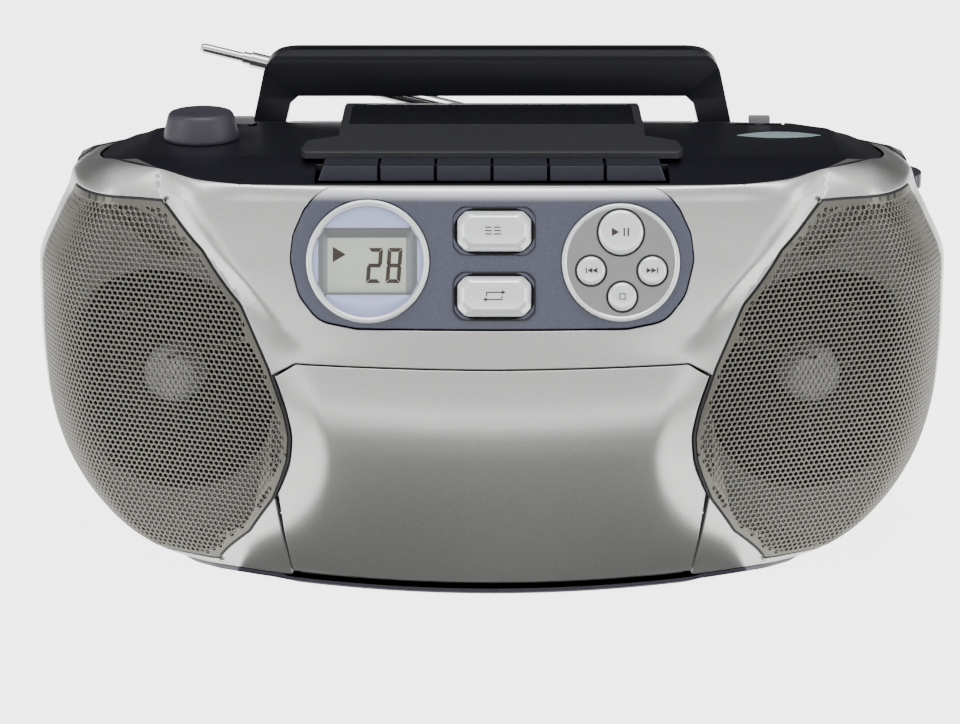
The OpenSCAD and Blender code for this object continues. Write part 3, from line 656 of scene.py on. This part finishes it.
def door_outline(wider):
    """The door seen from the front, with its sides moved out by wider."""
    side = [(float(grille_x(z)) - 0.2 + wider, float(z)) for z in np.linspace(46, 100.5, 24)]
    half = [(0, 6.6), (91, 6.6)] + side + [(87.5, 107.2), (0, 106.6)]
    r = [0, 1.2, 1.0] + [2] * 22 + [0.6, 2.5, 0]
    return dense(to_s(rounded(whole(half), r + r[-2:0:-1], 3)), 1.6)


GRILLE_IN = [(147.5, 174.2), (129, 154.5), (111.5, 131), (99.4, 104), (92.4, 84), (90.4, 73),
             (91.4, 62), (94.4, 53), (98.4, 43), (109.5, 26), (124.5, 9.2)]

# For each height, the true run along the skin at each s, counted from a line at x = 110.
GRID_Z = np.arange(4.0, 178.0, 1.0)
GRID_S = np.linspace(0, S_END, 420)
GRID_L = []
for gz in GRID_Z:
    row = body_at(np.stack([GRID_S, np.full(len(GRID_S), gz)], 1))
    run = np.concatenate([[0], np.cumsum(np.hypot(*np.diff(row[:, :2], axis=0).T))])
    GRID_L.append(run - np.interp(110.0, row[:, 0], run))
GRID_L = np.array(GRID_L)


def by_row(value, z, forward):
    """Turns s into the true run along the skin at height z (forward), or the run back into s."""
    value, z = np.asarray(value, float), np.asarray(z, float)
    k = np.clip(((z - GRID_Z[0])).astype(int), 0, len(GRID_Z) - 2)
    f = np.clip(z - GRID_Z[k], 0, 1)
    out = np.zeros(len(value))
    for i in np.unique(k):
        at = np.nonzero(k == i)[0]
        pair = []
        for row in (GRID_L[i], GRID_L[i + 1]):
            pair.append(np.interp(value[at], GRID_S, row) if forward
                        else np.interp(value[at], row, GRID_S))
        out[at] = pair[0] * (1 - f[at]) + pair[1] * f[at]
    return out


def skin_at(uv):
    """The right half of the skin for (run, height), with the run measured on the surface."""
    return body_at(np.stack([by_row(uv[:, 0], uv[:, 1], False), uv[:, 1]], 1))


def to_run(loop):
    """An (s, height) outline of the right half turned into (run, height)."""
    return np.stack([by_row(loop[:, 0], loop[:, 1], True), loop[:, 1]], 1)


# How far round the corner each grille wraps, by height.
wrap = pchip([14, 24, 40, 60, 100, 140, 174],
             [S_SIDE - 34, S_SIDE - 22, S_SIDE - 16, S_SIDE - 13, S_SIDE - 12, S_SIDE - 12,
              S_SIDE - 14])


def grille_outline():
    """The right grille's outline in (s, height): inner edge, bottom, outer side and top."""
    inner = to_s(rounded(GRILLE_IN, [0] + [14] * 9 + [0], 4))
    zs = np.concatenate([np.linspace(11, 40, 16), np.linspace(46, 168, 30)])
    outer = np.stack([wrap(zs), zs], 1)
    low = np.stack([np.linspace(inner[-1, 0] + 8, outer[0, 0] - 6, 8), np.full(8, 8.6)], 1)
    top = np.array([(S_SIDE - 20, 174.3), (float(s_of_x(158.0, 174.4)), 174.4)])
    loop = np.concatenate([inner, low, outer, top])
    return dense(thin(rounded(loop, [3.0] + [5] * (len(loop) - 1), 3)), 2.0)


GRILLE_LOOP = grille_outline()
PANEL_HALF = [(0, 122.6), (60, 122.6), (77, 125.5), (86, 136.5), (90, 152), (88.6, 163),
              (83.5, 174), (74.6, 182.9), (0, 183.0)]
PANEL_R = [0, 16, 14, 16, 16, 14, 12, 2.5, 0]
PANEL_LOOP = dense(to_s(rounded(whole(PANEL_HALF), PANEL_R + PANEL_R[-2:0:-1])), 1.5)


def crease_points():
    """Points that keep the triangles aligned with the creases."""
    out = []
    for z in np.arange(12, 170, 2.0):
        for off in (-2.2, -0.8, 0.6, 1.8):
            out += [(crease_x(z) + off, z), (-crease_x(z) - off, z)]
    return to_s(out)


def union_outline(loops):
    """The outer outline of overlapping closed loops, traced on their merged triangulation."""
    uv, triangles, middle = triangulate(np.concatenate(loops), chained(loops), 1e-4)
    ok = np.zeros(len(middle), bool)
    for loop in loops:
        ok |= inside(middle, loop)
    half = set()
    for f in [upright(f, uv) for f, k in zip(triangles, ok) if k]:
        half |= {(f[0], f[1]), (f[1], f[2]), (f[2], f[0])}
    nxt = {a: b for a, b in half if (b, a) not in half}
    best = []
    while nxt:
        a = next(iter(nxt))
        loop = []
        while a in nxt:
            loop.append(a)
            a = nxt.pop(a)
        if len(loop) > len(best):
            best = loop
    return dense(thin(uv[best], 0.6), 1.6)


# Front skin: one opening takes the door and both grilles, another the control panel.
openings = [union_outline([door_outline(1.6), mirrored(GRILLE_LOOP), GRILLE_LOOP]), PANEL_LOOP]
skin_edge = dense([(-S_END, 5), (S_END, 5), (S_END, CAP_TOP), (-S_END, CAP_TOP)], 2.2)
front_shell = patch("front_shell", skin_edge, openings, body_at, SILVER, "cabinet", spacing=2.4,
                    roll=0.5, depth=3.0, keep=crease_points(), square_rim=True)
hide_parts("front_cabinet")

# The skin is open below the door, so that the door's lower edge can swing inwards.
SILL_HALF_W, SILL_TOP = 91.7 * MM, 6.85 * MM
bm = bmesh.new()
bm.from_mesh(front_shell.data)
sill = [f for f in bm.faces
        if all(abs(v.co.x) < SILL_HALF_W and v.co.z < SILL_TOP for v in f.verts)]
bmesh.ops.delete(bm, geom=sill, context="FACES")
bm.to_mesh(front_shell.data)
bm.free()

# Cassette door, following the same skin.
door = patch("cassette_door_skin", grow(door_outline(0), -0.55), [], shifted(body_at, 0.05), SILVER,
             "door", spacing=2.6, roll=0.5, depth=2.8, keep=crease_points())
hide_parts("cassette_door")

# Control panel, bending back at its top edge.
DISPLAY_AT, PLATE_AT = (-55.0, 0.0), (57.0, -0.5)
PILLS = {"program_button": 13.4, "repeat_button": -15.5}
PILL_U = 1
TILT = math.atan(19.5 / 60.0)
PANEL_MID = np.array([0.0, -101.25, 152.0])
PANEL_RIGHT = np.array([1.0, 0, 0])
PANEL_UP = np.array([0.0, math.sin(TILT), math.cos(TILT)])
PANEL_OUT = np.array([0.0, -math.cos(TILT), math.sin(TILT)])


def on_panel(u, v, w=0.0):
    """A point of the panel's plane: u right, v up, w out."""
    u, v, w = np.broadcast_arrays(np.asarray(u, float), np.asarray(v, float), np.asarray(w, float))
    return (PANEL_MID + u[..., None] * PANEL_RIGHT + v[..., None] * PANEL_UP
            + w[..., None] * PANEL_OUT)


def panel_spot(u, v):
    """Carries points (x, y, w) to the panel, round the spot (u, v)."""
    return lambda x, y, w: on_panel(x + u, y + v, w)


def circle(r, n=96, at=(0, 0)):
    """A circle of n points."""
    a = np.linspace(0, 2 * math.pi, n, endpoint=False)
    return np.stack([at[0] + r * np.cos(a), at[1] + r * np.sin(a)], 1)


def pill(a, b, at=(0, 0), n=20):
    """Outline of a slot-like rectangle of half sizes a, b with round ends."""
    t = np.linspace(-math.pi / 2, math.pi / 2, n)
    r = np.stack([a - b + b * np.cos(t), b * np.sin(t)], 1)
    return np.concatenate([r, -r]) + np.array(at)


def panel_hole(loop):
    """An outline on the panel's plane turned into the skin's own (s, t)."""
    p = on_panel(loop[:, 0], loop[:, 1])
    return dense(to_s(p[:, [0, 2]]), 1.2)


panel_holes = [circle(27.6, 110, DISPLAY_AT), circle(26.4, 110, PLATE_AT)]
panel_holes += [pill(18.2, 10.2, (PILL_U, v)) for v in PILLS.values()]
panel = patch("control_panel_skin", grow(PANEL_LOOP, -0.7), [panel_hole(h) for h in panel_holes],
              shifted(body_at, 0.15), SLATE, "cabinet", spacing=2.6, roll=0.45, depth=2.4)
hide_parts("control_panel")


# ---------------------------------------------------------------- speaker grilles
PITCH, HOLE_R, SHEET = 2.6, 1.0, 1.1
RAISED, RIM_DEPTH = 0.1, 2.0
GRILLE_RUN = to_run(GRILLE_LOOP)


def around(cells, radius, n):
    """n points round each cell's middle, the first at 30 degrees."""
    a = np.radians(30 + 360 / n * np.arange(n))
    return cells[:, None, :] + radius * np.stack([np.cos(a), np.sin(a)], 1)[None]


def hexagon_cells(outline):
    """Middles of the hexagons that fit in the outline."""
    lo, hi = outline.min(0), outline.max(0)
    row_h = PITCH * math.sqrt(3) / 2
    rows = []
    for j in range(int((hi[1] - lo[1]) / row_h) + 2):
        us = np.arange(lo[0] + (PITCH / 2 if j % 2 else 0), hi[0] + PITCH, PITCH)
        rows.append(np.stack([us, np.full(len(us), lo[1] + j * row_h)], 1))
    cells = np.concatenate(rows)
    return cells[on_sheet(cells, [outline], PITCH * 0.85)]


def grille_rim(outline, corners, cells, cell_edges):
    """The plain rim between the outline and the hexagons: its points and its triangles."""
    edges = [(p, q) for p, q in cell_edges if (q, p) not in cell_edges]
    used = sorted({i for e in edges for i in e})
    m = len(outline)
    at = {v: m + i for i, v in enumerate(used)}
    uv, triangles, middle = triangulate(np.concatenate([outline, corners[used]]),
                                        chained([outline]) + [(at[p], at[q]) for p, q in edges])
    near = np.full(len(middle), False)
    for i in range(0, len(middle), 400):
        d = middle[i:i + 400, None] - cells[None]
        near[i:i + 400] = np.hypot(d[..., 0], d[..., 1]).min(1) < PITCH * 0.5
    ok = inside(middle, outline) & ~near
    return uv, [upright(f, uv) for f, k in zip(triangles, ok) if k]


def grille_mesh(tag, side):
    """A perforated sheet: hexagonal cells with round holes, and a plain rim out to the outline."""
    outline = dense(thin(grow(GRILLE_RUN, -1.1), 0.5), 1.5)
    cells = hexagon_cells(outline)
    corner = around(cells, PITCH / math.sqrt(3), 6).reshape(-1, 2)
    keys, inv = np.unique(np.round(corner * 50).astype(int), axis=0, return_inverse=True)
    inv = inv.reshape(len(cells), 6)
    corners = np.zeros((len(keys), 2))
    corners[inv.ravel()] = corner
    holes = around(cells, HOLE_R, 12).reshape(-1, 2)
    first_hole = len(corners)
    faces, cell_edges = [], {}
    for c in range(len(cells)):
        b = first_hole + 12 * c
        for k in range(6):
            p, q = int(inv[c, k]), int(inv[c, (k + 1) % 6])
            faces.append([p, q, b + (2 * k + 2) % 12, b + 2 * k + 1, b + 2 * k])
            cell_edges[(p, q)] = True
    rim, rim_faces = grille_rim(outline, corners, cells, cell_edges)
    first_rim = first_hole + len(holes)
    faces += [[first_rim + i for i in f] for f in rim_faces]

    uv = np.concatenate([corners, holes, rim])
    normals = surface_normals(skin_at, uv)
    front = skin_at(uv) + normals * RAISED
    walls = front[first_hole:first_rim] - normals[first_hole:first_rim] * SHEET
    for c in range(len(cells)):
        a, b = first_hole + 12 * c, len(uv) + 12 * c
        faces += [[a + k, a + (k + 1) % 12, b + (k + 1) % 12, b + k] for k in range(12)]
    edge, edge_normals = skin_at(outline), surface_normals(skin_at, outline)
    e0, m = len(uv) + len(walls), len(outline)
    for i in range(m):
        j = (i + 1) % m
        faces.append([e0 + i, e0 + m + i, e0 + m + j, e0 + j])
    verts = np.concatenate([front, walls, edge + edge_normals * RAISED,
                            edge - edge_normals * RIM_DEPTH])
    if side < 0:
        verts = verts * [-1, 1, 1]
        faces = [f[::-1] for f in faces]
    ob = make("grille_sheet_" + tag, verts, faces, GRILLE, "cabinet", angle=40)
    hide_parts("speaker_grille_" + tag)


for tag, side in SIDES:
    grille_mesh(tag, side)
    run = dense(thin(GRILLE_RUN, 0.5), 1.5)
    seat = patch("gasket_" + tag, grow(run, 0.35), [dense(thin(grow(run, -2.2), 0.6), 1.5)],
                 shifted(skin_at, 0.55), GASKET, None, spacing=4, roll=0.2, depth=1.5)
    speaker_hole = to_run(to_s(circle(51.0, 90, (149.0, 92.0))))
    baffle = patch("baffle_" + tag, grow(run, 0.3), [speaker_hole], shifted(skin_at, 3.4), BAFFLE,
                   None, spacing=5, roll=0.6, depth=6)
    for ob in (seat, baffle):
        if side < 0:
            for v in ob.data.vertices:
                v.co.x = -v.co.x
            ob.data.flip_normals()
        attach(ob, "cabinet")

# Dark pan that closes the bottom of the front cabinet.
PAN_N = 161
pan_top = body_at(np.stack([np.linspace(-S_END, S_END, PAN_N), np.full(PAN_N, 5.0)], 1))
pan_top[0, 1] = pan_top[-1, 1] = SPLIT_Y
pan_top[:, 2] -= 0.9 * sstep((96.0 - np.abs(pan_top[:, 0])) / 4.0)
inwards = np.array([0, -60, 0.0]) - pan_top
pan = np.concatenate([pan_top, pan_top + inwards * [0.006, 0.006, 0] - [0, 0, 0.6],
                      pan_top + inwards * [0.03, 0.03, 0] - [0, 0, 3.0]])
pan_faces = [[i, i + PAN_N, i + PAN_N + 1, i + 1]
             for r in range(2) for i in range(r * PAN_N, (r + 1) * PAN_N - 1)]
pan_faces.append([2 * PAN_N + i for i in reversed(range(PAN_N))])
base_pan = make("base_pan", pan, pan_faces, KNOB, "cabinet", angle=35)


# ---------------------------------------------------------------- lofted and turned pieces
def loft(name, rings, mat, body, closed=True, angle=32):
    """Rings of equal length joined by quads, with a flat end on the last one where closed."""
    n = len(rings[0])
    faces = []
    for k in range(len(rings) - 1):
        a, b = k * n, (k + 1) * n
        faces += [[a + i, a + (i + 1) % n, b + (i + 1) % n, b + i] for i in range(n)]
    if closed:
        faces.append([(len(rings) - 1) * n + i for i in range(n)])
    return make(name, np.concatenate(rings), faces, mat, body, angle=angle)


def ring_at(place, loop, w):
    """An outline carried by place(x, y, w)."""
    return place(loop[:, 0], loop[:, 1], w)


def turned(name, profile, place, mat, body, n=96, **more):
    """A turned piece: profile of (radius, height) carried by place(x, y, height)."""
    rings = [ring_at(place, circle(max(r, 0.01), n), h) for r, h in profile]
    return loft(name, rings, mat, body, **more)


def raised(name, loops, w, mat, body, thick=0.12, place=on_panel):
    """Thin flat shapes, such as symbols and digit segments, raised by thick above w."""
    verts, faces, at = [], [], 0
    for loop in loops:
        loop = np.asarray(loop, float)
        loop = loop if anticlockwise(loop) else loop[::-1]
        n = len(loop)
        verts += [ring_at(place, loop, w), ring_at(place, loop, w + thick)]
        faces += [[at + i, at + (i + 1) % n, at + n + (i + 1) % n, at + n + i] for i in range(n)]
        faces.append([at + n + i for i in range(n)])
        at += 2 * n
    ob = make(name, np.concatenate(verts), faces, mat, body, smooth=False)
    return ob


def box_loop(a, b, cut=0.0, r=0.5, at=(0, 0)):
    """A rectangle of half sizes a, b with cut and rounded corners."""
    if cut:
        pts = [(-a + cut, -b), (a - cut, -b), (a, -b + cut), (a, b - cut), (a - cut, b),
               (-a + cut, b), (-a, b - cut), (-a, -b + cut)]
    else:
        pts = [(-a, -b), (a, -b), (a, b), (-a, b)]
    return rounded(pts, r, 5) + np.array(at)


# Display: ring, tinted lens, sloping bezel, crystal cell and segments.
at_display = panel_spot(*DISPLAY_AT)
ring = turned("display_ring_trim",
              [(27.3, -2.5), (27.3, 0.9), (27.0, 1.6), (26.3, 2.0), (25.6, 1.9), (25.0, 1.3),
               (24.5, 0.3), (24.4, -2.5)],
              at_display, PEARL, "cabinet", closed=False, angle=60)
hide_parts("display_ring")

RING_N = 96
WINDOW, CELL, CELL_AT = (21.9, 14.9), (17.3, 12.0), (-0.5, -1.5)
disc = circle(24.45, RING_N)
turn = np.linspace(0, 2 * math.pi, RING_N, endpoint=False)
reach = 1 / np.maximum(np.abs(np.cos(turn)) / WINDOW[0], np.abs(np.sin(turn)) / WINDOW[1])
window = np.stack([np.cos(turn) * reach, np.sin(turn) * reach], 1)
corner = np.arctan2(WINDOW[1], WINDOW[0])
for q in (corner, math.pi - corner, math.pi + corner, 2 * math.pi - corner):
    k = int(round(q / (2 * math.pi) * RING_N)) % RING_N
    window[k] = [math.copysign(WINDOW[0], math.cos(q)), math.copysign(WINDOW[1], math.sin(q))]
cell_edge = window * [CELL[0] / WINDOW[0], CELL[1] / WINDOW[1]] + CELL_AT
lens = loft("lens_disc", [ring_at(at_display, disc, -1.2), ring_at(at_display, disc, -0.3),
                          ring_at(at_display, disc * 0.985, 0.0),
                          ring_at(at_display, window, 0.15)], LENS, "cabinet", closed=False)
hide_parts("display_lens")
bezel = loft("lcd_bezel", [ring_at(at_display, window, 0.15), ring_at(at_display, window, -0.3),
                           ring_at(at_display, cell_edge, -2.6)], BEZEL, "cabinet", closed=False)
cell = raised("lcd_cell", [box_loop(18, 12.8, at=CELL_AT)], -3.0, LCD, "cabinet", 0.45,
              at_display)
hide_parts("lcd_module")


def segments(which, x, y):
    """Seven segment strokes with mitred ends, leaning slightly."""
    a, b, t, gap, lean = 3.3, 7.8, 1.75, 0.18, 0.07
    m = t / 2
    bars = {"a": [(-a + gap, b), (a - gap, b), (a - t, b - t), (-a + t, b - t)],
            "d": [(-a + t, -b + t), (a - t, -b + t), (a - gap, -b), (-a + gap, -b)],
            "g": [(-a + gap * 2, 0), (-a + m, m), (a - m, m), (a - gap * 2, 0), (a - m, -m),
                  (-a + m, -m)],
            "b": [(a, b - gap * 2), (a, gap * 2), (a - m, gap * 2), (a - t, m + gap),
                  (a - t, b - t - gap)],
            "f": [(-a, b - gap * 2), (-a + t, b - t - gap), (-a + t, m + gap), (-a + m, gap * 2),
                  (-a, gap * 2)],
            "c": [(a, -b + gap * 2), (a - t, -b + t + gap), (a - t, -m - gap), (a - m, -gap * 2),
                  (a, -gap * 2)],
            "e": [(-a, -b + gap * 2), (-a, -gap * 2), (-a + m, -gap * 2), (-a + t, -m - gap),
                  (-a + t, -b + t + gap)]}
    return [[(px + x + py * lean, py + y) for px, py in bars[k]] for k in which]


digits = segments("abged", 2.9, -1.7) + segments("abcdefg", 11.6, -1.7)
digits.append([(-15.6, -0.3), (-9.8, 3.2), (-15.6, 6.7)])
raised("lcd_segments", digits, -2.54, INK, "cabinet", 0.06, at_display)


# Bevelled buttons in their wells.
def pill_rings(stack, v, r):
    """Cut-cornered rings of the pill at height v: stack gives half sizes and w."""
    return [ring_at(on_panel, box_loop(a, b, cut=3.6, r=r, at=(PILL_U, v)), w) for a, b, w in stack]


PILL_CAP = [(16.3, 8.9, -3), (16.3, 8.9, 0.2), (16.1, 8.7, 0.6), (13.7, 6.5, 2.9), (13.2, 6.0, 3.2),
            (12.6, 5.5, 3.3)]
PILL_WELL = [(18.4, 10.9, 0.1), (17.7, 10.2, -0.5), (17.2, 9.8, -2.6), (16.0, 8.6, -2.8)]
for node, v in PILLS.items():
    cap = loft(node + "_cap", pill_rings(PILL_CAP, v, 3.4), PEARL, node + "_body", angle=50)
    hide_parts(node)
    well = loft(node + "_well", pill_rings(PILL_WELL, v, 4.5), GASKET, "cabinet", closed=False)

# Round buttons: place on the panel and radius.
ROUND = {"play_pause_button": (57, 12.8, 10), "previous_button": (43.8, -4.2, 6.4),
         "next_button": (70.9, -4.2, 6.4), "stop_button": (57.6, -15.7, 6.4)}
for node, (u, v, r) in ROUND.items():
    k = r / 10
    cap = turned(node + "_cap", [(r - 0.1, -2), (r - 0.1, 1.5), (r - 0.5, 2.1), (r - 1.3 * k, 2.5),
                                 (r - 2.4 * k, 2.7), (r * 0.5, 2.9), (0, 3.0)],
                 panel_spot(u, v), PEARL, node + "_body", n=64, angle=70)
    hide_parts(node)
    gap = turned(node + "_gap", [(r + 0.85, 1.05), (r + 0.75, 1.12), (r + 0.3, 0.9),
                                 (r - 0.3, -1.5)],
                 panel_spot(u, v), GASKET, "cabinet", n=64, closed=False)
cad("cd_button_plate", PLATE, 0.3)
rim = turned("plate_rim", [(26.1, -1), (26.1, 0.9), (25.7, 1.5), (25.0, 1.6), (24.3, 1.2),
                           (23.9, 0.9)],
             panel_spot(*PLATE_AT), PEARL, "cabinet", closed=False, angle=60)


def tri(x, y, s, d=1):
    """A triangle of height s that points right, or left for d = -1."""
    return [(x - d * s * 0.45, y - s * 0.5), (x + d * s * 0.45, y), (x - d * s * 0.45, y + s * 0.5)]


def bar(x, y, w, h):
    """A rectangle w wide and h high with its middle at (x, y)."""
    return [(x - w / 2, y - h / 2), (x + w / 2, y - h / 2), (x + w / 2, y + h / 2),
            (x - w / 2, y + h / 2)]


# Symbols: the height they lie at, and their shapes on the panel.
SYMBOLS = {
    "play_pause_button": (2.85, [tri(54.6, 12.8, 3.8), bar(58.4, 12.8, 0.75, 3.6),
                                 bar(60.2, 12.8, 0.75, 3.6)]),
    "previous_button": (3.0, [bar(41.6, -4.2, 0.5, 2.5), tri(43.2, -4.2, 2.5, -1),
                              tri(45.4, -4.2, 2.5, -1)]),
    "next_button": (3.0, [tri(69.3, -4.2, 2.5), tri(71.5, -4.2, 2.5), bar(73.1, -4.2, 0.5, 2.5)]),
    "stop_button": (3.0, [bar(56.4, -15.7, 0.4, 2.8), bar(58.8, -15.7, 0.4, 2.8),
                          bar(57.6, -14.5, 2.0, 0.4), bar(57.6, -16.9, 2.0, 0.4)]),
    "program_button": (3.3, [bar(x, y, 3.0, 0.5) for x in (-1.6, 2.4) for y in (14.9, 13.4, 11.9)]),
    "repeat_button": (3.3, [bar(1.3, -13.9, 7.0, 0.5), bar(0.7, -17.1, 7.0, 0.5),
                            tri(5.2, -13.9, 1.9), tri(-3.2, -17.1, 1.9, -1),
                            bar(-2.4, -14.6, 0.5, 1.9), bar(4.4, -16.4, 0.5, 1.9)]),
}
for node, (w, loops) in SYMBOLS.items():
    raised(node + "_symbol", loops, w, INK, node + "_body", 0.16)

# Volume knob, turned, with a small mark.
KNOB_AT, KNOB_TOP = (-135.0, -20.0), 202.95


def at_knob(x, y, z):
    return np.stack([x + KNOB_AT[0], y + KNOB_AT[1], np.full_like(x, z)], 1)


def on_knob(x, y, w):
    return np.stack([x, y, np.full_like(x, KNOB_TOP + w)], 1)


knob = turned("volume_knob_cap",
              [(17.3, 190.3), (17.5, 190.8), (17.4, 192), (16.6, 196), (15.4, 200.6), (14.9, 201.8),
               (14.1, 202.6), (13.0, KNOB_TOP), (8, 203.0), (0, 203.0)],
              at_knob, KNOB, "volume_knob_body", angle=70)
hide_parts("volume_knob")
raised("volume_knob_mark", [[(-140.4, -25.8), (-139.6, -26.6), (-136.2, -22.6), (-137.0, -21.8)]],
       0.0, GASKET, "volume_knob_body", 0.12, on_knob)

# Dust caps of the speakers, which face outwards by the toe angle.
TOE = math.radians(21)
CONE_AT = np.array([149.0, -80.0, 92.0])
UP = np.array([0, 0, 1.0])
for tag, side in SIDES:
    out = np.array([side * math.sin(TOE), -math.cos(TOE), 0])
    along = np.array([math.cos(TOE), side * math.sin(TOE), 0])

    def at_speaker(x, y, w, middle=CONE_AT * [side, 1, 1], out=out, along=along):
        return middle + x[:, None] * along + y[:, None] * UP + w * out

    dome = turned("dust_cap_" + tag, [(13.6, -16.6), (13.6, -7.5), (12.4, -4.2), (9.6, -2.6),
                                      (6, -1.7), (2.5, -1.2), (0, -1.1)],
                  at_speaker, CAP, "cabinet", n=48, angle=80)

# ---------------------------------------------------------------- carried-over nodes
# Material, bevel in millimetres, steps of the bevel, and the nodes that share them.
CARRIED = [
    (KEYS, 0.8, 3, "record_key play_key rewind_key fast_forward_key stop_eject_key pause_key"),
    (SATIN, 0.6, 2, "top_deck"),
    (SATIN, 0.5, 2, "rear_cabinet"),
    (SATIN, 0.3, 2, "battery_door"),
    (TEXTURED, 0.8, 3, "cd_lid"),
    (BLACK, 0.4, 2, "cd_window"),
    (HANDLE, 1.6, 4, "carry_handle"),
    (TEAL, 0.3, 2, "dial_window"),
    (RED, 0.0, 2, "dial_pointer"),
    (GREY, 0.5, 2, "source_selector band_selector"),
    (GREY, 0.4, 2, "cd_chassis"),
    (KNOB, 0.5, 2, "tuning_knob"),
    (CHROME, 0.3, 2, "antenna_swivel"),
    (CHROME, 0.2, 2, "antenna_tube_1 antenna_tube_2 antenna_tube_3"),
    (CONE, 0.0, 2, "speaker_frame_left speaker_frame_right speaker_cone_left speaker_cone_right"),
    (DARK, 0.4, 2, "cassette_holder"),
    (DARK, 0.3, 2, "turntable laser_pickup mains_inlet"),
    (DARK, 0.2, 2, "headphone_jack"),
    (STEEL, 0.3, 2, "tape_chassis head_plate capstan_flywheel"),
    (STEEL, 0.5, 2, "tape_motor"),
    (STEEL, 0.6, 2, "transformer"),
    (STEEL, 0.15, 2, "screws"),
    (RUBBER, 0.3, 2, "pinch_roller feet"),
    (WHITE, 0.25, 2, "supply_reel takeup_reel"),
    (WHITE, 0.3, 2, "cd_clamper"),
    (BOARD, 0.2, 2, "main_board"),
]
for mat, bevel, steps, names in CARRIED:
    for node in names.split():
        cad(node, mat, bevel, steps)


# ---------------------------------------------------------------- stage
CARD.node_tree.links.new(along_axis(CARD, "Y", -0.1, -0.55, 0.32),
                         CARD.node_tree.nodes["Principled BSDF"].inputs["Emission Strength"])


def stage_sheet(name, points, z, mat, unseen_by):
    """A level sheet of the studio, left out of the named kinds of ray."""
    me = bpy.data.meshes.new(name)
    me.from_pydata([(x, y, z) for x, y in points], [], [tuple(range(len(points)))])
    ob = bpy.data.objects.new(name, me)
    bpy.context.collection.objects.link(ob)
    me.materials.append(mat)
    for ray in unseen_by:
        setattr(ob, "visible_" + ray, False)


# The floor, the paler floor that reflections see, and a dark card that only they see.
SQUARE = [(-6, -6), (6, -6), (6, 6), (-6, 6)]
CARD_HALF = [(0.11, -0.06), (0.15, -0.23), (0.42, -0.29), (1.6, -0.45), (1.6, -2.2)]
stage_sheet("floor", SQUARE, 0.0, FLOOR, ("glossy", "diffuse"))
stage_sheet("floor_mirrored", SQUARE, 0.001, MIRRORED, ("camera", "shadow"))
stage_sheet("dark_card", [(-x, y) for x, y in CARD_HALF] + CARD_HALF[::-1], 0.002, CARD,
            ("camera", "shadow", "diffuse"))
